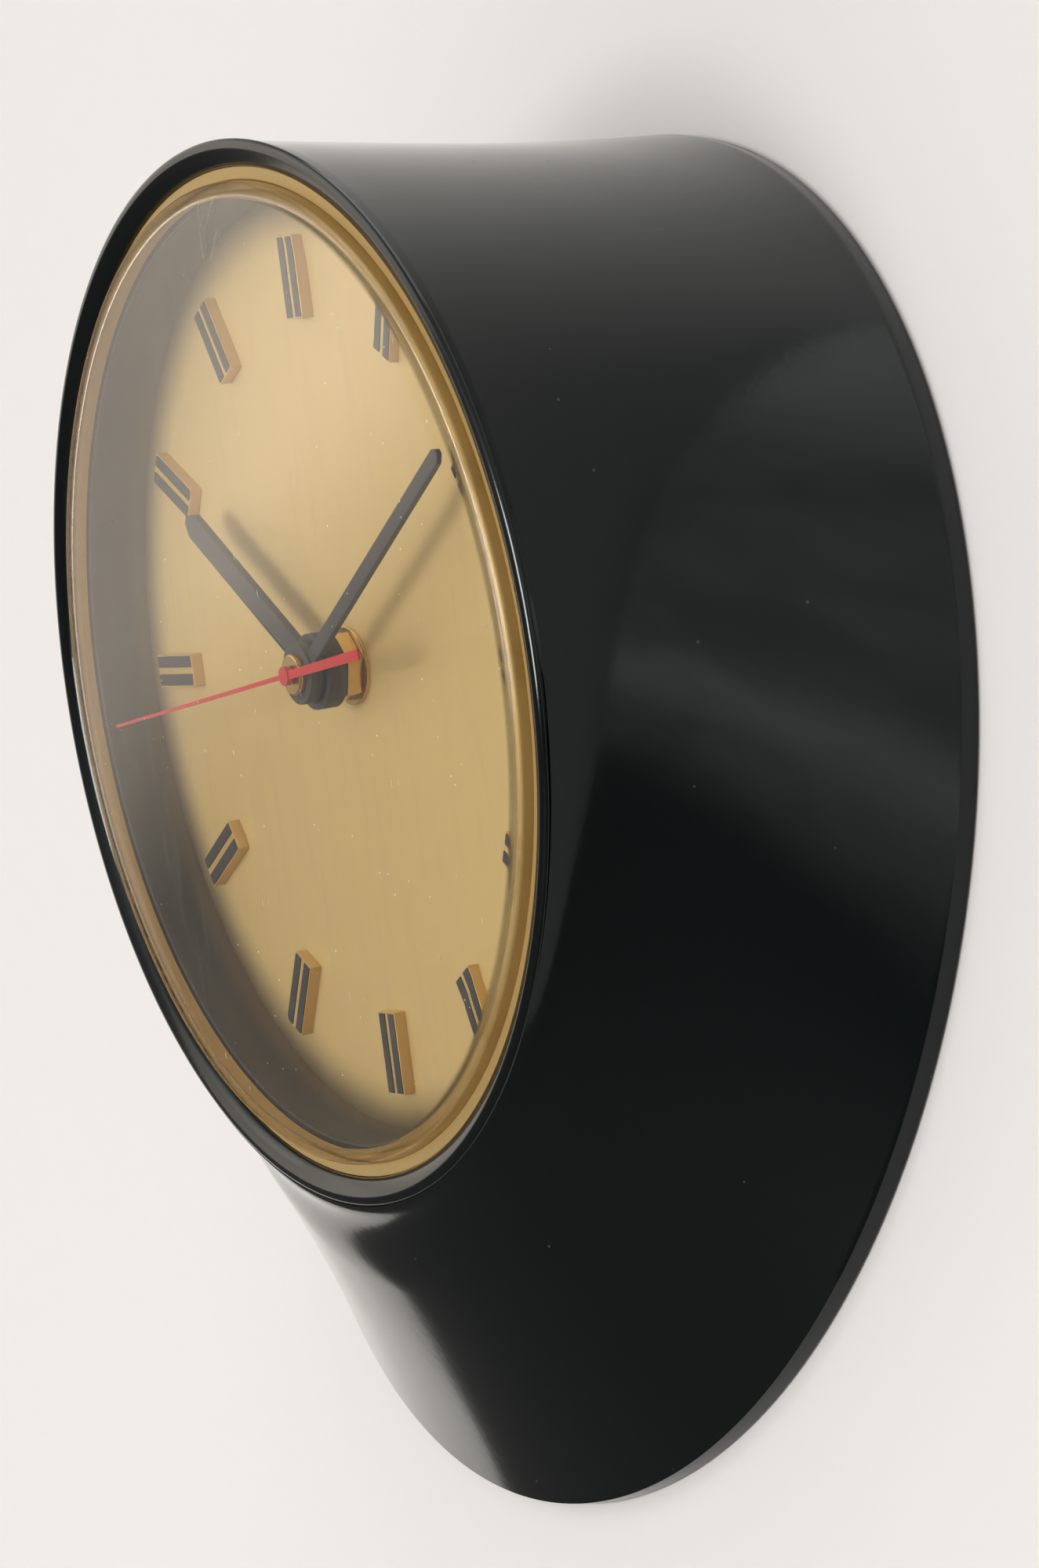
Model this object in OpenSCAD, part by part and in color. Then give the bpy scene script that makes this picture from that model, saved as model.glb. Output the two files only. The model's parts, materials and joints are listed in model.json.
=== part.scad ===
// Wall clock with a tilted round face in a flared black case, run by a battery movement.
// Millimetres. Origin: centre of the rear rim, on the wall plane. X to the right, Z up, the wall at +Y.
// Behind the face, "drop" means the distance below the plane of the face's rim, square to the dial.

/* [Case] */
// Outer radius of the rounded rim round the face
face_r = 100; // [96:0.5:103]
// Forward lean of the face, in degrees
face_tilt = 13.4; // [9:0.1:15]
// Distance of the rim's centre in front of the wall
face_depth = 70.4; // [68:0.2:78]
// Height of the rim's centre above the rear rim's centre
face_rise = 20.4; // [16:0.2:22]
// Radius of the rear rim, which meets the wall
rear_r = 131; // [127:0.5:136]
// Wall thickness of the case
wall_t = 3; // [2.4:0.1:3.4]
// Width of the lip, from the outer edge of the face to the mouth
lip_w = 5.2; // [4.8:0.1:5.8]
// Distance of the lip's crest from the outer edge of the face
lip_round = 1.8; // [1.4:0.1:2.4]
// Height of the lip's crest above the rim's plane
lip_h = 0.4; // [0.2:0.1:0.8]
// Depth of the straight skirt at the wall
skirt_w = 3.5; // [2:0.1:5]

/* [Window] */
// Width of the bezel ring, which shows round the crystal
bezel_w = 2.5; // [2.2:0.1:3.2]
// Thickness of the crystal
crystal_t = 1.8; // [1.5:0.1:2.4]
// Height of the crystal's front edge above the rim's plane
crystal_rise = 1.3; // [0.6:0.1:1.8]
// Crown of the crystal's front
crystal_crown = 0.8; // [0.4:0.1:1.2]
// Rounding where the crystal's wall meets its front
crystal_round = 1.7; // [1.3:0.1:3]
// Thickness of the crystal's flange under the bezel ring
flange_t = 1.2; // [1:0.1:1.5]
// Drop of the bezel ring's face
ring_drop = 1.9; // [1.6:0.1:2.4]
// Thickness of the bezel ring
ring_t = 1; // [0.8:0.1:1.2]

/* [Dial] */
// Drop of the dial's face
dial_drop = 16.4; // [16:0.1:17]
// Thickness of the dial sheet
dial_t = 1; // [0.8:0.1:1.2]
// Width of the ledge under the crystal's flange, down to the sleeve that leads to the dial
ledge_w = 5.8; // [5.4:0.1:6.8]
// Distance of the hour markers from the sleeve
marker_rim = 7.7; // [5:0.1:10]
// Length of an hour marker
marker_l = 15.8; // [13:0.2:18]
// Width of an hour marker
marker_w = 6.4; // [5.6:0.1:7.5]
// Height of an hour marker, without its black bars
marker_h = 2.4; // [1.8:0.1:2.6]
// How far a marker's black bars stand out of the gold
bar_out = 0.15; // [0.1:0.05:0.4]
// Width of the gold line between a marker's two black bars
marker_gap = 1.4; // [0.8:0.1:1.5]

/* [Hands] */
// Distance of the hour hand's tip from the markers' inner ends
hour_short = 10; // [7:0.5:16]
// Width of the hour hand
hour_w = 5; // [4:0.1:6]
// Position of the hour hand, in degrees clockwise from twelve
hour_at = 303; // [0:0.5:360]
// Distance of the minute hand's tip from the sleeve
minute_short = 13; // [9:0.5:20]
// Width of the minute hand
minute_w = 3.1; // [2.6:0.1:4]
// Position of the minute hand, in degrees clockwise from twelve
minute_at = 59.4; // [0:0.2:360]
// Distance of the second hand's tip from the sleeve
second_short = 9; // [5:0.5:16]
// Length of the second hand's tail from the centre
second_tail = 31.5; // [24:0.5:36]
// Position of the second hand, in degrees clockwise from twelve
second_at = 263.2; // [0:0.2:360]

/* [Centre stack] */
// Radius of the hour hand's hub
hour_hub_r = 7.2; // [6.6:0.1:7.6]
// Length of the hour hand's hub
hour_hub_l = 3.7; // [3.4:0.1:4]
// Radius of the minute hand's hub
minute_hub_r = 5.8; // [5.2:0.1:6.2]
// Length of the minute hand's hub
minute_hub_l = 2.8; // [2.4:0.1:3]
// Thickness of the minute hand's brass cap
cap_l = 1.3; // [1.1:0.1:1.4]
// Radius of the minute hand's brass cap
cap_r = 3.9; // [3.4:0.1:4.4]
// Radius of the brass washer on the dial
washer_r = 7.4; // [7:0.1:8]
// Thickness of the brass washer
washer_t = 0.8; // [0.6:0.1:1]
// Height of the brass nut that holds the movement to the dial
nut_h = 3.3; // [3:0.1:3.5]
// Outer radius of the threaded centre bush
bush_r = 4; // [3.8:0.1:4.2]
// Radius of the seconds arbor
seconds_r = 0.5; // [0.45:0.05:0.55]
// Wall of the minute arbor's tube
minute_wall = 0.7; // [0.6:0.05:0.8]
// Wall of the hour wheel's pipe
hour_wall = 0.9; // [0.8:0.05:1]
// Running clearance of arbors in their holes, on the radius
run = 0.05; // [0.03:0.01:0.08]

/* [Movement] */
// Thickness of the two movement plates
plate_t = 1.5; // [1.2:0.1:1.7]
// Space between the movement plates
plate_gap = 25.5; // [25.2:0.1:27]
// Distance of a side of the plates from the centre, to the left as seen from the front
plate_left = 36; // [34:0.5:37]
// Distance of a side of the plates from the centre, to the right
plate_right = 32; // [31:0.5:33]
// Distance of the plates' top edge from the centre
plate_top = 32; // [31:0.5:33]
// Distance of the plates' bottom edge from the centre
plate_bottom = 48; // [47:0.5:49]
// Distance between the seconds arbor and the third arbor
train_l = 17; // [16.6:0.1:17.4]
// Distance between the centre and the minute wheel's stud
motion_l = 14.4; // [14:0.1:14.8]
// Thickness of the wheels
wheel_t = 1; // [0.8:0.1:1]
// Radius of the slim arbors
arbor_r = 0.6; // [0.5:0.05:0.7]
// Radius of the setting arbor
setting_r = 1.2; // [1:0.05:1.4]
// Radius of the setting knob
knob_r = 8; // [7:0.5:10]
// Length of the setting knob
knob_l = 6.5; // [5:0.5:8]
// Wall thickness of the movement's housing
housing_t = 1.6; // [1.4:0.1:1.8]

/* [Balance] */
// Distance of the balance staff below the centre
balance_l = 21; // [20.6:0.1:22]
// Radius of the balance discs
balance_r = 13; // [12:0.1:13.5]
// Radius of the circle that the balance magnets lie on
magnet_ring_r = 8.2; // [7.8:0.1:8.8]
// Radius of a balance magnet
magnet_r = 2.6; // [2.2:0.1:2.8]
// Radius of the drive and sensing coils
coil_r = 4.6; // [4:0.1:4.8]

/* [Battery] */
// Radius of the battery
cell_r = 13.1; // [12.8:0.1:13.1]
// Length of the battery over its terminal
cell_l = 50; // [49:0.5:50]

/* [Hanging] */
// Distance of the hanger screws from the middle
hang_x = 28; // [24:0.5:32]
// Distance of the hanger screws below the top of the rear rim
hang_in = 15; // [14:0.5:17]
// Radius of the keyhole's round entry
keyhole_r = 5; // [4.5:0.1:5.5]
// Radius of the keyhole's narrow end
keyslot_r = 2.3; // [2:0.1:2.6]
// Thickness of the hanger plate
hang_t = 1.5; // [1.2:0.1:2]

/* [Hidden] */
$fn = 64;
fit = 0.1;                                   // gap round a piece that drops into a recess
play = 0.4;                                  // axial gap between pieces that turn
flare = 1.76;                                // how the case's radius grows towards the wall
sink = 2;                                    // how its middle comes down
turn = 2.7;                                  // how it straightens up
lip_groove = 0.3;
neck_r = face_r - lip_groove;                // case radius just behind the lip
ring_n = 26;                                 // rings of the case's loft
side_n = 72;                                 // corners of each ring
loft_l = face_depth - skirt_w;
mouth_r = face_r - lip_w;                    // bore that the bezel ring drops into
crystal_r = mouth_r - bezel_w - fit;         // the crystal's upright wall
flange_gap = 0.4;                            // round the crystal's flange
lip_root = 2.5;                              // how far the lip reaches back into the case
lip_bend = 0.45;                             // how early the lip's slope rises from the mouth
lip_low = 0.55;                              // drop of the lip's outer edge
ledge_drop = ring_drop + ring_t + flange_t;  // seat of the crystal's flange
ledge_t = 3.2;
sleeve_r = mouth_r - ledge_w;
sleeve_w = 3;
marker_ring_r = sleeve_r - marker_rim - marker_l / 2;
dial_lap = 2.3;
dial_r = sleeve_r + dial_lap;
dial_back = dial_drop + dial_t;
clamp_t = 1.2;
clamp_w = 7.2;
clamp_out = sleeve_r + sleeve_w + clamp_t;
clamp_in = clamp_out - clamp_w;
clamp_boss_r = 3.3;
clamp_ring_r = sleeve_r + sleeve_w + clamp_boss_r + fit;        // circle of the clamp screws
tube_flange_w = 2.3;                         // flange of the dial tube, behind the ledge
tube_flange_t = 1.5;
tube_gap = 0.3;                              // between the dial tube and the crystal
clamp_at = [0, 180, -60, -120];
screw_r = 1.25;
screw_gap = 0.1;                             // round a screw's shank in a plate
screw_head_r = 2.7;
screw_head_h = 1.8;
screw_slot_w = 0.7;
screw_in = 8;                                // depth of a screw's hole in its boss
screw_end = 0.5;                             // left free at the end of the hole

// Drops of the centre stack, from the dial forwards
nut_back = dial_drop - washer_t;
nut_front = nut_back - nut_h;
nut_r = washer_r - 0.5;
hub_gap = 0.6;
bush_out = 0.2;                              // how far the bush stands past its nut
hour_hub_back = nut_front - hub_gap;
hour_hub_front = hour_hub_back - hour_hub_l;
minute_hub_back = hour_hub_front - play;
minute_hub_front = minute_hub_back - minute_hub_l;
cap_front = minute_hub_front - cap_l;
second_hub_l = 1.2;
second_hub_r = 1.8;
second_hub_back = cap_front - play;
second_hub_front = second_hub_back - second_hub_l;
second_cap = 0.3;                            // closed end of the second hand's hub
hour_l = marker_ring_r - marker_l / 2 - hour_short;
minute_l = sleeve_r - minute_short;
second_l = sleeve_r - second_short;
hour_t = 1.5;
minute_t = 1.2;
second_t = 0.5;
second_w = 0.9;
tail_w = 2;
minute_in = seconds_r + run;
minute_out = minute_in + minute_wall;
hour_in = minute_out + run;
hour_out = hour_in + hour_wall;
bush_in = hour_out + run;

// Drops inside the movement, from the dial's back to the wall
liner_t = 1;
liner_r = washer_r + 1.6;
plate_front = dial_back + liner_t;
plate_inner = plate_front + plate_t;
plate_far = plate_inner + plate_gap;
plate_back = plate_far + plate_t;
bush_flange_t = 1;
bush_flange_w = 2.5;
bush_flange_back = plate_inner + bush_flange_t;
hour_wheel_drop = bush_flange_back + play;
minute_wheel_drop = hour_wheel_drop + wheel_t + play;
pinion_over = 0.4;                           // how far a pinion stands past its wheel
wheel_gap = 2;
stud_head_t = 0.6;
stud_head_w = 0.9;
centre_wheel_drop = minute_wheel_drop + wheel_t + play + stud_head_t + pinion_over + hub_gap * 2;
third_wheel_drop = centre_wheel_drop + wheel_t + wheel_gap;
index_wheel_drop = third_wheel_drop + wheel_t + wheel_gap;
index_t = 0.6;
minute_arbor_back = centre_wheel_drop + wheel_t + hub_gap;
wheel_rim = 1.6;
wheel_hub = 2;
pivot_out = 0.2;                             // how far pivots pass a plate
seconds_pinion_n = 8;
third_n = 60;
third_pinion_n = 8;
centre_n = 64;
cannon_n = 12;
minute_n = 36;
minute_pinion_n = 10;
hour_n = 40;
third_m = 2 * train_l / (seconds_pinion_n + third_n);
centre_m = 2 * train_l / (third_pinion_n + centre_n);
cannon_m = 2 * motion_l / (cannon_n + minute_n);
hour_m = 2 * motion_l / (minute_pinion_n + hour_n);
third_at = [-train_l, 0];
minute_stud_turn = 60;                       // direction of the minute wheel from the centre
setting_turn = 20;                           // direction of the setting pinion from the minute wheel
minute_stud_at = motion_l * [cos(minute_stud_turn), sin(minute_stud_turn)];
setting_at = minute_stud_at + motion_l * [cos(setting_turn), sin(setting_turn)];
stud_r = 1;

balance_at = [0, -balance_l];
staff_r = arbor_r;
balance_hub_r = 1.6;
disc_t = 1;
magnet_t = 1;
coil_t = 1.6;
board_t = 1;
pin_over = 0.4;                              // how far the impulse pin reaches past the index wheel
balance_front = index_wheel_drop + index_t + pin_over + 1;
coil_front = balance_front + disc_t + magnet_t + play;
board_front = coil_front + coil_t;
board_back = board_front + board_t;
coil_back = board_back + coil_t;
balance_back = coil_back + play + magnet_t;  // front face of the rear disc
balance_end = balance_back + disc_t;
magnet_turns = [-112, -68];                  // directions of the magnets from the staff
pin_r = 0.5;
index_r = 13;
index_n = 60;
tooth_h = 0.7;
pin_gap = 0.3;
pin_ring_r = balance_l - index_r - pin_r - pin_gap;
coil_at = [0, -balance_l - magnet_ring_r];
spring_over = 0.3;                           // how far the collet stands past the hairspring
spring_drop = centre_wheel_drop + spring_over;
stud_post_r = 0.8;
coil_bore_r = 1.6;
board_edge = 1.5;
capacitor_r = 2.8;
capacitor_l = 11;
transistor_r = 2.4;
transistor_l = 4.5;
spring_w = 0.25;
spring_h = 0.6;
spring_in = 1.3;
spring_out = 5;
spring_turns = 5;
pillar_in = 4.5;                             // pillars' distance from the plates' edges
pillar_r = 2.5;
rivet_r = 1.5;
pillar_at = [for (x = [-plate_left + pillar_in, plate_right - pillar_in])
             for (y = [-plate_bottom + pillar_in, plate_top - pillar_in]) [x, y]];
plate_round = 5;
board_side = 9.4;                            // board's distance from the plates' sides
board_low = 0.5;
board_w = 16;
foot_in = 4;
foot_r = 2.2;
foot_head_t = 0.8;
board_x = [-plate_left + board_side, plate_right - board_side];
board_y = [-plate_bottom + board_low, -plate_bottom + board_low + board_w];
board_foot_at = [for (x = [board_x[0] + foot_in, board_x[1] - foot_in])
                 [x, board_y[0] + foot_in + board_low]];

housing_gap = 1.2;                           // between the plates and the housing's walls
housing_front = plate_front + hub_gap / 2;
housing_room = 1.5;                          // between the back plate and the housing's rear wall
housing_seat = plate_back + housing_room;    // inner face of the housing's rear wall
housing_back = housing_seat + housing_t;
box_left = plate_left + housing_gap;
box_right = plate_right + housing_gap;
box_top = plate_top + housing_gap;
box_bottom = plate_bottom + housing_gap;
contact_room = 2.4;                          // space for a contact at each end of the battery
cell_x = (box_right - box_left) / 2;
cell_fit = 0.5;
bay_half = cell_l / 2 + contact_room;
cell_y = -box_bottom - housing_t - cell_fit - cell_r;
bay_skin = 2.4;                              // between the battery's front and the movement's front
bay_grip = 5.1;                              // how far the battery stands out of its bay
cell_drop = plate_front + bay_skin + cell_fit + cell_r;
bay_front = cell_drop - cell_r - cell_fit;
bay_back = cell_drop + cell_r - bay_grip;
nub_r = 3.2;
nub_l = 1.9;
contact_t = 0.6;
contact_w = 4;
contact_h = 8;                               // half the height of a contact in the bay
contact_lap = 6;                             // length of a contact's foot on the board

knob_gap = 0.6;
knob_seat = 4;                               // depth of the arbor in the knob
knob_front = housing_back + knob_gap;
groove_r = 0.7;
groove_n = 24;
hang_off = 0.2;                              // between the hanger plate and the wall
hang_head_t = 0.9;                           // screw heads sunk in the hanger plate
hang_front = hang_t + hang_off;              // distance of the hanger plate's front from the wall
hang_boss_r = 4.2;
hang_boss_l = 7.3;
hang_rib = 3;
hang_end = 10;
hang_w = 2 * (hang_x + hang_end);
hang_z = rear_r - hang_in;
keyhole_drop = 8;
keyslot_rise = 1;
hang_edge = 3;                               // least metal below the keyhole
hang_top = 5;                                // metal above the screws
keyhole_z = hang_z - keyhole_drop;
keyslot_z = hang_z + keyslot_rise;

// ---- helpers ----

// Places its children in the face's frame: X to three o'clock, Y to twelve, Z out of the dial
module in_face() {
    translate([0, -face_depth, face_rise]) rotate([90 + face_tilt, 0, 0]) children();
}

// Round bar or tube between two drops
module tube(r, from, to, bore = 0) {
    difference() {
        translate([0, 0, -to]) cylinder(r = r, h = to - from);
        if (bore > 0) translate([0, 0, -to - 1]) cylinder(r = bore, h = to - from + 2);
    }
}

// Flat piece of a given outline between two drops
module slab(from, to) {
    translate([0, 0, -to]) linear_extrude(to - from) children();
}

module block(x, y, from, to) {
    translate([x[0], y[0], -to]) cube([x[1] - x[0], y[1] - y[0], to - from]);
}

module rounded_plate(left, right, bottom, top, r) {
    square_x = [-left, right];
    square_y = [-bottom, top];
    union() {
        translate([square_x[0] + r, square_y[0]]) square([right + left - 2 * r, top + bottom]);
        translate([square_x[0], square_y[0] + r]) square([right + left, top + bottom - 2 * r]);
        for (x = [square_x[0] + r, square_x[1] - r])
            for (y = [square_y[0] + r, square_y[1] - r]) translate([x, y]) circle(r);
    }
}

// Involute wheel outline. The teeth are a little narrow, so that a pair runs free at every angle
pressure = 20;
tooth_share = 0.44;
addendum = 0.75;
dedendum = 1.2;
flank_n = 2;
function inv_deg(rb, r) = r <= rb ? 0 : tan(acos(rb / r)) * 180 / PI - acos(rb / r);
function flank(n, m) =
    let (rp = m * n / 2, rb = rp * cos(pressure), ra = rp + addendum * m, rr = rp - dedendum * m,
         r0 = max(rb, rr), half = tooth_share * 180 / n + inv_deg(rb, rp))
    concat([[rr, half - inv_deg(rb, r0)]],
           [for (i = [rr < r0 - 0.001 ? 0 : 1 : flank_n])
               let (r = r0 + (ra - r0) * i / flank_n) [r, half - inv_deg(rb, r)]]);
module gear_outline(n, m, at = 0) {
    side = flank(n, m);
    last = len(side) - 1;
    polygon([for (k = [0 : n - 1])
             for (j = [0 : 2 * last + 1])
             let (p = j <= last ? side[j] : side[2 * last + 1 - j],
                  a = at + k * 360 / n + (j <= last ? -p[1] : p[1]))
             p[0] * [cos(a), sin(a)]]);
}

// A hand's blade from the hub outwards, along twelve, with cut corners at its tip
module blade_outline(w, l) {
    cut = w * 0.32;
    polygon([[-w / 2, 0], [w / 2, 0], [w / 2, l - cut * 1.6], [w / 2 - cut, l], [cut - w / 2, l],
             [-w / 2, l - cut * 1.6]]);
}

module screw(from, to, head_r = screw_head_r, head_h = screw_head_h, r = screw_r) {
    difference() {
        union() {
            tube(r, from, to);
            tube(head_r, to, to + head_h);
        }
        translate([-head_r - 1, -screw_slot_w / 2, -to - head_h - screw_slot_w])
            cube([2 * head_r + 2, screw_slot_w, 2 * screw_slot_w]);
    }
}

// ---- case ----

// The case is lofted through circles: the first is the rim's, the last stands on the skirt.
// s runs from 0 at the rim to 1 at the skirt
function loft_r(s) = neck_r + (rear_r - neck_r) * pow(s, flare);
function loft_z(s) = face_rise * (1 - pow(s, sink));
function loft_tilt(s) = face_tilt * pow(1 - s, turn);
function loft_s(y) = min(1, (face_depth + y) / loft_l);
function loft_ring(s, y, inset) =
    let (r = loft_r(s) - inset, z = loft_z(s), t = loft_tilt(s))
    [for (k = [0 : side_n - 1])
        let (a = k * 360 / side_n)
        [r * cos(a), y - r * sin(a) * sin(t), z + r * sin(a) * cos(t)]];
module loft(inset, past) {
    rings = concat([for (i = [0 : ring_n]) let (s = pow(i / ring_n, 1.3))
                        loft_ring(s, -face_depth + loft_l * s, inset)],
                   [loft_ring(1, past, inset)]);
    n = len(rings);
    polyhedron(
        points = [for (ring = rings) for (p = ring) p],
        faces = concat(
            [[for (k = [0 : side_n - 1]) side_n - 1 - k]],
            [for (i = [0 : n - 2]) for (k = [0 : side_n - 1])
                let (a = i * side_n + k, b = i * side_n + (k + 1) % side_n)
                [a, b, b + side_n]],
            [for (i = [0 : n - 2]) for (k = [0 : side_n - 1])
                let (a = i * side_n + k, b = i * side_n + (k + 1) % side_n)
                [a, b + side_n, a + side_n]],
            [[for (k = [0 : side_n - 1]) (n - 1) * side_n + k]]));
}

// The lip rises from the mouth in a long slope to its crest and rounds over to the outside
lip_slope = [for (i = [0 : 6]) let (u = pow(i / 6, 2))
             [mouth_r + (lip_w - lip_round) * u, -ring_drop + (ring_drop + lip_h) * pow(u, lip_bend)]];
lip_outside = [for (a = [75 : -15 : 0])
               [face_r + lip_round * (cos(a) - 1), -lip_low + (lip_h + lip_low) * sin(a)]];
module lip() {
    rotate_extrude($fn = 96)
        polygon(concat([[mouth_r, -lip_root]], lip_slope, lip_outside,
                       [[neck_r - lip_groove, -2 * lip_low], [neck_r - lip_root / 2, -lip_root]]));
}

module mouth() {
    rotate_extrude($fn = 96)
        polygon(concat([[0, -ledge_drop], [mouth_r, -ledge_drop]], lip_slope,
                       [[face_r - lip_round, rear_r], [0, rear_r]]));
}

module clamp_places() {
    for (a = clamp_at) rotate(a) translate([clamp_ring_r, 0, 0]) children();
}

module hang_places() {
    for (x = [-hang_x, hang_x]) translate([x, 0, hang_z]) rotate([90, 0, 0]) children();
}

// What stays solid inside the case: the front ledge and the screw bosses
module case_inside() {
    in_face() {
        tube(rear_r, -face_depth, ledge_drop + ledge_t);
        clamp_places() tube(clamp_boss_r, 0, dial_back);
    }
    hang_places() {
        translate([0, 0, hang_front]) cylinder(r = hang_boss_r, h = hang_boss_l);
        translate([-hang_rib / 2, 0, hang_front]) cube([hang_rib, hang_in + wall_t, hang_boss_l]);
    }
}

module case_shell() {
    color([0.05, 0.05, 0.055])
    difference() {
        union() {
            loft(0, 0);
            in_face() lip();
        }
        difference() {
            loft(wall_t, 2);
            case_inside();
        }
        in_face() {
            mouth();
            tube(sleeve_r + sleeve_w + fit, 0, dial_back);
            clamp_places() tube(screw_r, dial_back - screw_in, dial_back + 1);
        }
        hang_places() translate([0, 0, hang_front - 1]) cylinder(r = screw_r, h = hang_boss_l);
    }
}

// The deep wall between window and dial, held by its flange between the case's ledge and the dial
module dial_tube() {
    out_r = sleeve_r + sleeve_w;
    flange_drop = ledge_drop + ledge_t;
    color([0.06, 0.06, 0.065])
    in_face() difference() {
        union() {
            tube(out_r, ledge_drop + tube_gap, dial_drop);
            tube(out_r + tube_flange_w, flange_drop, flange_drop + tube_flange_t);
        }
        tube(sleeve_r, 0, dial_back);
        clamp_places() tube(clamp_boss_r + fit, 0, dial_back);
    }
}

// ---- window and dial ----

module bezel_ring() {
    color([0.78, 0.62, 0.32])
    in_face() tube(mouth_r - fit / 2, ring_drop, ring_drop + ring_t, crystal_r + fit);
}

module crystal() {
    // an arc for each corner, then the crowned front
    out_r = crystal_r;
    in_r = crystal_r - crystal_t;
    in_round = max(flange_gap, crystal_round - crystal_t);
    edge = out_r - crystal_round;
    in_edge = in_r - in_round;
    crown_r = (edge * edge + crystal_crown * crystal_crown) / (2 * crystal_crown);
    function crown(r) = crystal_rise + crystal_crown - (crown_r - sqrt(crown_r * crown_r - r * r));
    color([0.9, 0.92, 0.92, 0.25])
    in_face() rotate_extrude($fn = 96)
        polygon(concat(
            [[in_r, -ledge_drop], [mouth_r - flange_gap, -ledge_drop],
             [mouth_r - flange_gap, -ledge_drop + flange_t],
             [out_r, -ledge_drop + flange_t]],
            [for (a = [0 : 15 : 90])
                [edge + crystal_round * cos(a), crystal_rise - crystal_round + crystal_round * sin(a)]],
            [for (i = [7 : -1 : 0]) [edge * i / 8, crown(edge * i / 8)]],
            [for (i = [0 : 7]) [in_edge * i / 8, crown(in_edge * i / 8) - crystal_t]],
            [for (a = [90 : -30 : 0])
                [in_edge + in_round * cos(a),
                 crown(in_edge) - crystal_t - in_round + in_round * sin(a)]]));
}

module dial_plate() {
    color([0.80, 0.70, 0.46])
    in_face() tube(dial_r, dial_drop, dial_back, bush_r + fit);
}

module marker_places() {
    for (k = [0 : 11]) rotate(k * 30) translate([0, marker_ring_r, 0]) children();
}

inlay_t = 0.3;
marker_edge = 0.3;
inlay_w = (marker_w - marker_gap) / 2 - marker_edge;
module inlay_places() {
    for (x = [-1, 1]) translate([x * (marker_gap + inlay_w) / 2, 0, 0]) children();
}

module hour_markers() {
    color([0.82, 0.66, 0.36])
    in_face() marker_places() difference() {
        block([-marker_w / 2, marker_w / 2], [-marker_l / 2, marker_l / 2],
              dial_drop - marker_h, dial_drop);
        inlay_places()
            block([-inlay_w / 2, inlay_w / 2], [-marker_l / 2 + marker_edge, marker_l / 2 - marker_edge],
                  dial_drop - marker_h - 1, dial_drop - marker_h + inlay_t);
    }
}

module marker_inlays() {
    color([0.08, 0.08, 0.085])
    in_face() marker_places() inlay_places()
        block([-inlay_w / 2, inlay_w / 2], [-marker_l / 2 + marker_edge, marker_l / 2 - marker_edge],
              dial_drop - marker_h - bar_out, dial_drop - marker_h + inlay_t);
}

module dial_clamp_ring() {
    color([0.62, 0.63, 0.64])
    in_face() difference() {
        union() {
            tube(clamp_out, dial_back, dial_back + clamp_t);
            clamp_places() tube(clamp_boss_r, dial_back, dial_back + clamp_t);
        }
        tube(clamp_in, dial_back - 1, dial_back + clamp_t + 1);
        clamp_places() tube(screw_r + screw_gap, dial_back - 1, dial_back + clamp_t + 1);
    }
}

module clamp_screws() {
    color([0.7, 0.7, 0.71])
    in_face() clamp_places() screw(dial_back - screw_in + screw_end, dial_back + clamp_t);
}

// ---- centre stack ----

module dial_washer() {
    color([0.75, 0.58, 0.28])
    in_face() tube(washer_r, nut_back, dial_drop, bush_r);
}

module dial_nut() {
    color([0.85, 0.68, 0.34])
    in_face() difference() {
        translate([0, 0, -nut_back]) rotate(12) cylinder(r = nut_r, h = nut_h, $fn = 6);
        tube(bush_r, nut_front - 1, nut_back + 1);
    }
}

module centre_bush() {
    color([0.80, 0.63, 0.30])
    in_face() difference() {
        union() {
            tube(bush_r, nut_front - bush_out, plate_inner);
            tube(bush_r + bush_flange_w, plate_inner, bush_flange_back);
        }
        tube(bush_in, nut_front - 1, bush_flange_back + 1);
    }
}

module liner_washer() {
    color([0.35, 0.12, 0.08])
    in_face() tube(liner_r, dial_back, plate_front, bush_r);
}

module blade(w, l, from, to, at) {
    rotate(-at) slab(from, to) blade_outline(w, l);
}

module hour_hand() {
    color([0.07, 0.07, 0.075])
    in_face() difference() {
        union() {
            tube(hour_hub_r, hour_hub_front, hour_hub_back);
            blade(hour_w, hour_l, hour_hub_front, hour_hub_front + hour_t, hour_at);
        }
        tube(hour_out, hour_hub_front - 1, hour_hub_back + 1);
    }
}

module hour_wheel() {
    color([0.83, 0.68, 0.36])
    in_face() difference() {
        union() {
            tube(hour_out, hour_hub_front, hour_wheel_drop);
            slab(hour_wheel_drop, hour_wheel_drop + wheel_t)
                gear_outline(hour_n, hour_m, minute_stud_turn + 180 / hour_n);
        }
        tube(hour_in, hour_hub_front - 1, hour_wheel_drop + wheel_t + 1);
    }
}

module minute_hand() {
    minute_blade = minute_hub_front + (minute_hub_l - minute_t) / 2;
    color([0.07, 0.07, 0.075])
    in_face() difference() {
        union() {
            tube(minute_hub_r, minute_hub_front, minute_hub_back);
            blade(minute_w, minute_l, minute_blade, minute_blade + minute_t, minute_at);
        }
        tube(minute_out, minute_hub_front - 1, minute_hub_back + 1);
    }
}

module minute_cap() {
    color([0.86, 0.70, 0.38])
    in_face() tube(cap_r, cap_front, minute_hub_front, minute_out);
}

module minute_arbor() {
    color([0.83, 0.68, 0.36])
    in_face() difference() {
        union() {
            tube(minute_out, cap_front, minute_arbor_back);
            slab(minute_wheel_drop - pinion_over / 2, minute_wheel_drop + wheel_t + pinion_over)
                gear_outline(cannon_n, cannon_m, minute_stud_turn);
        }
        tube(minute_in, cap_front - 1, minute_arbor_back + 1);
    }
}

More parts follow.
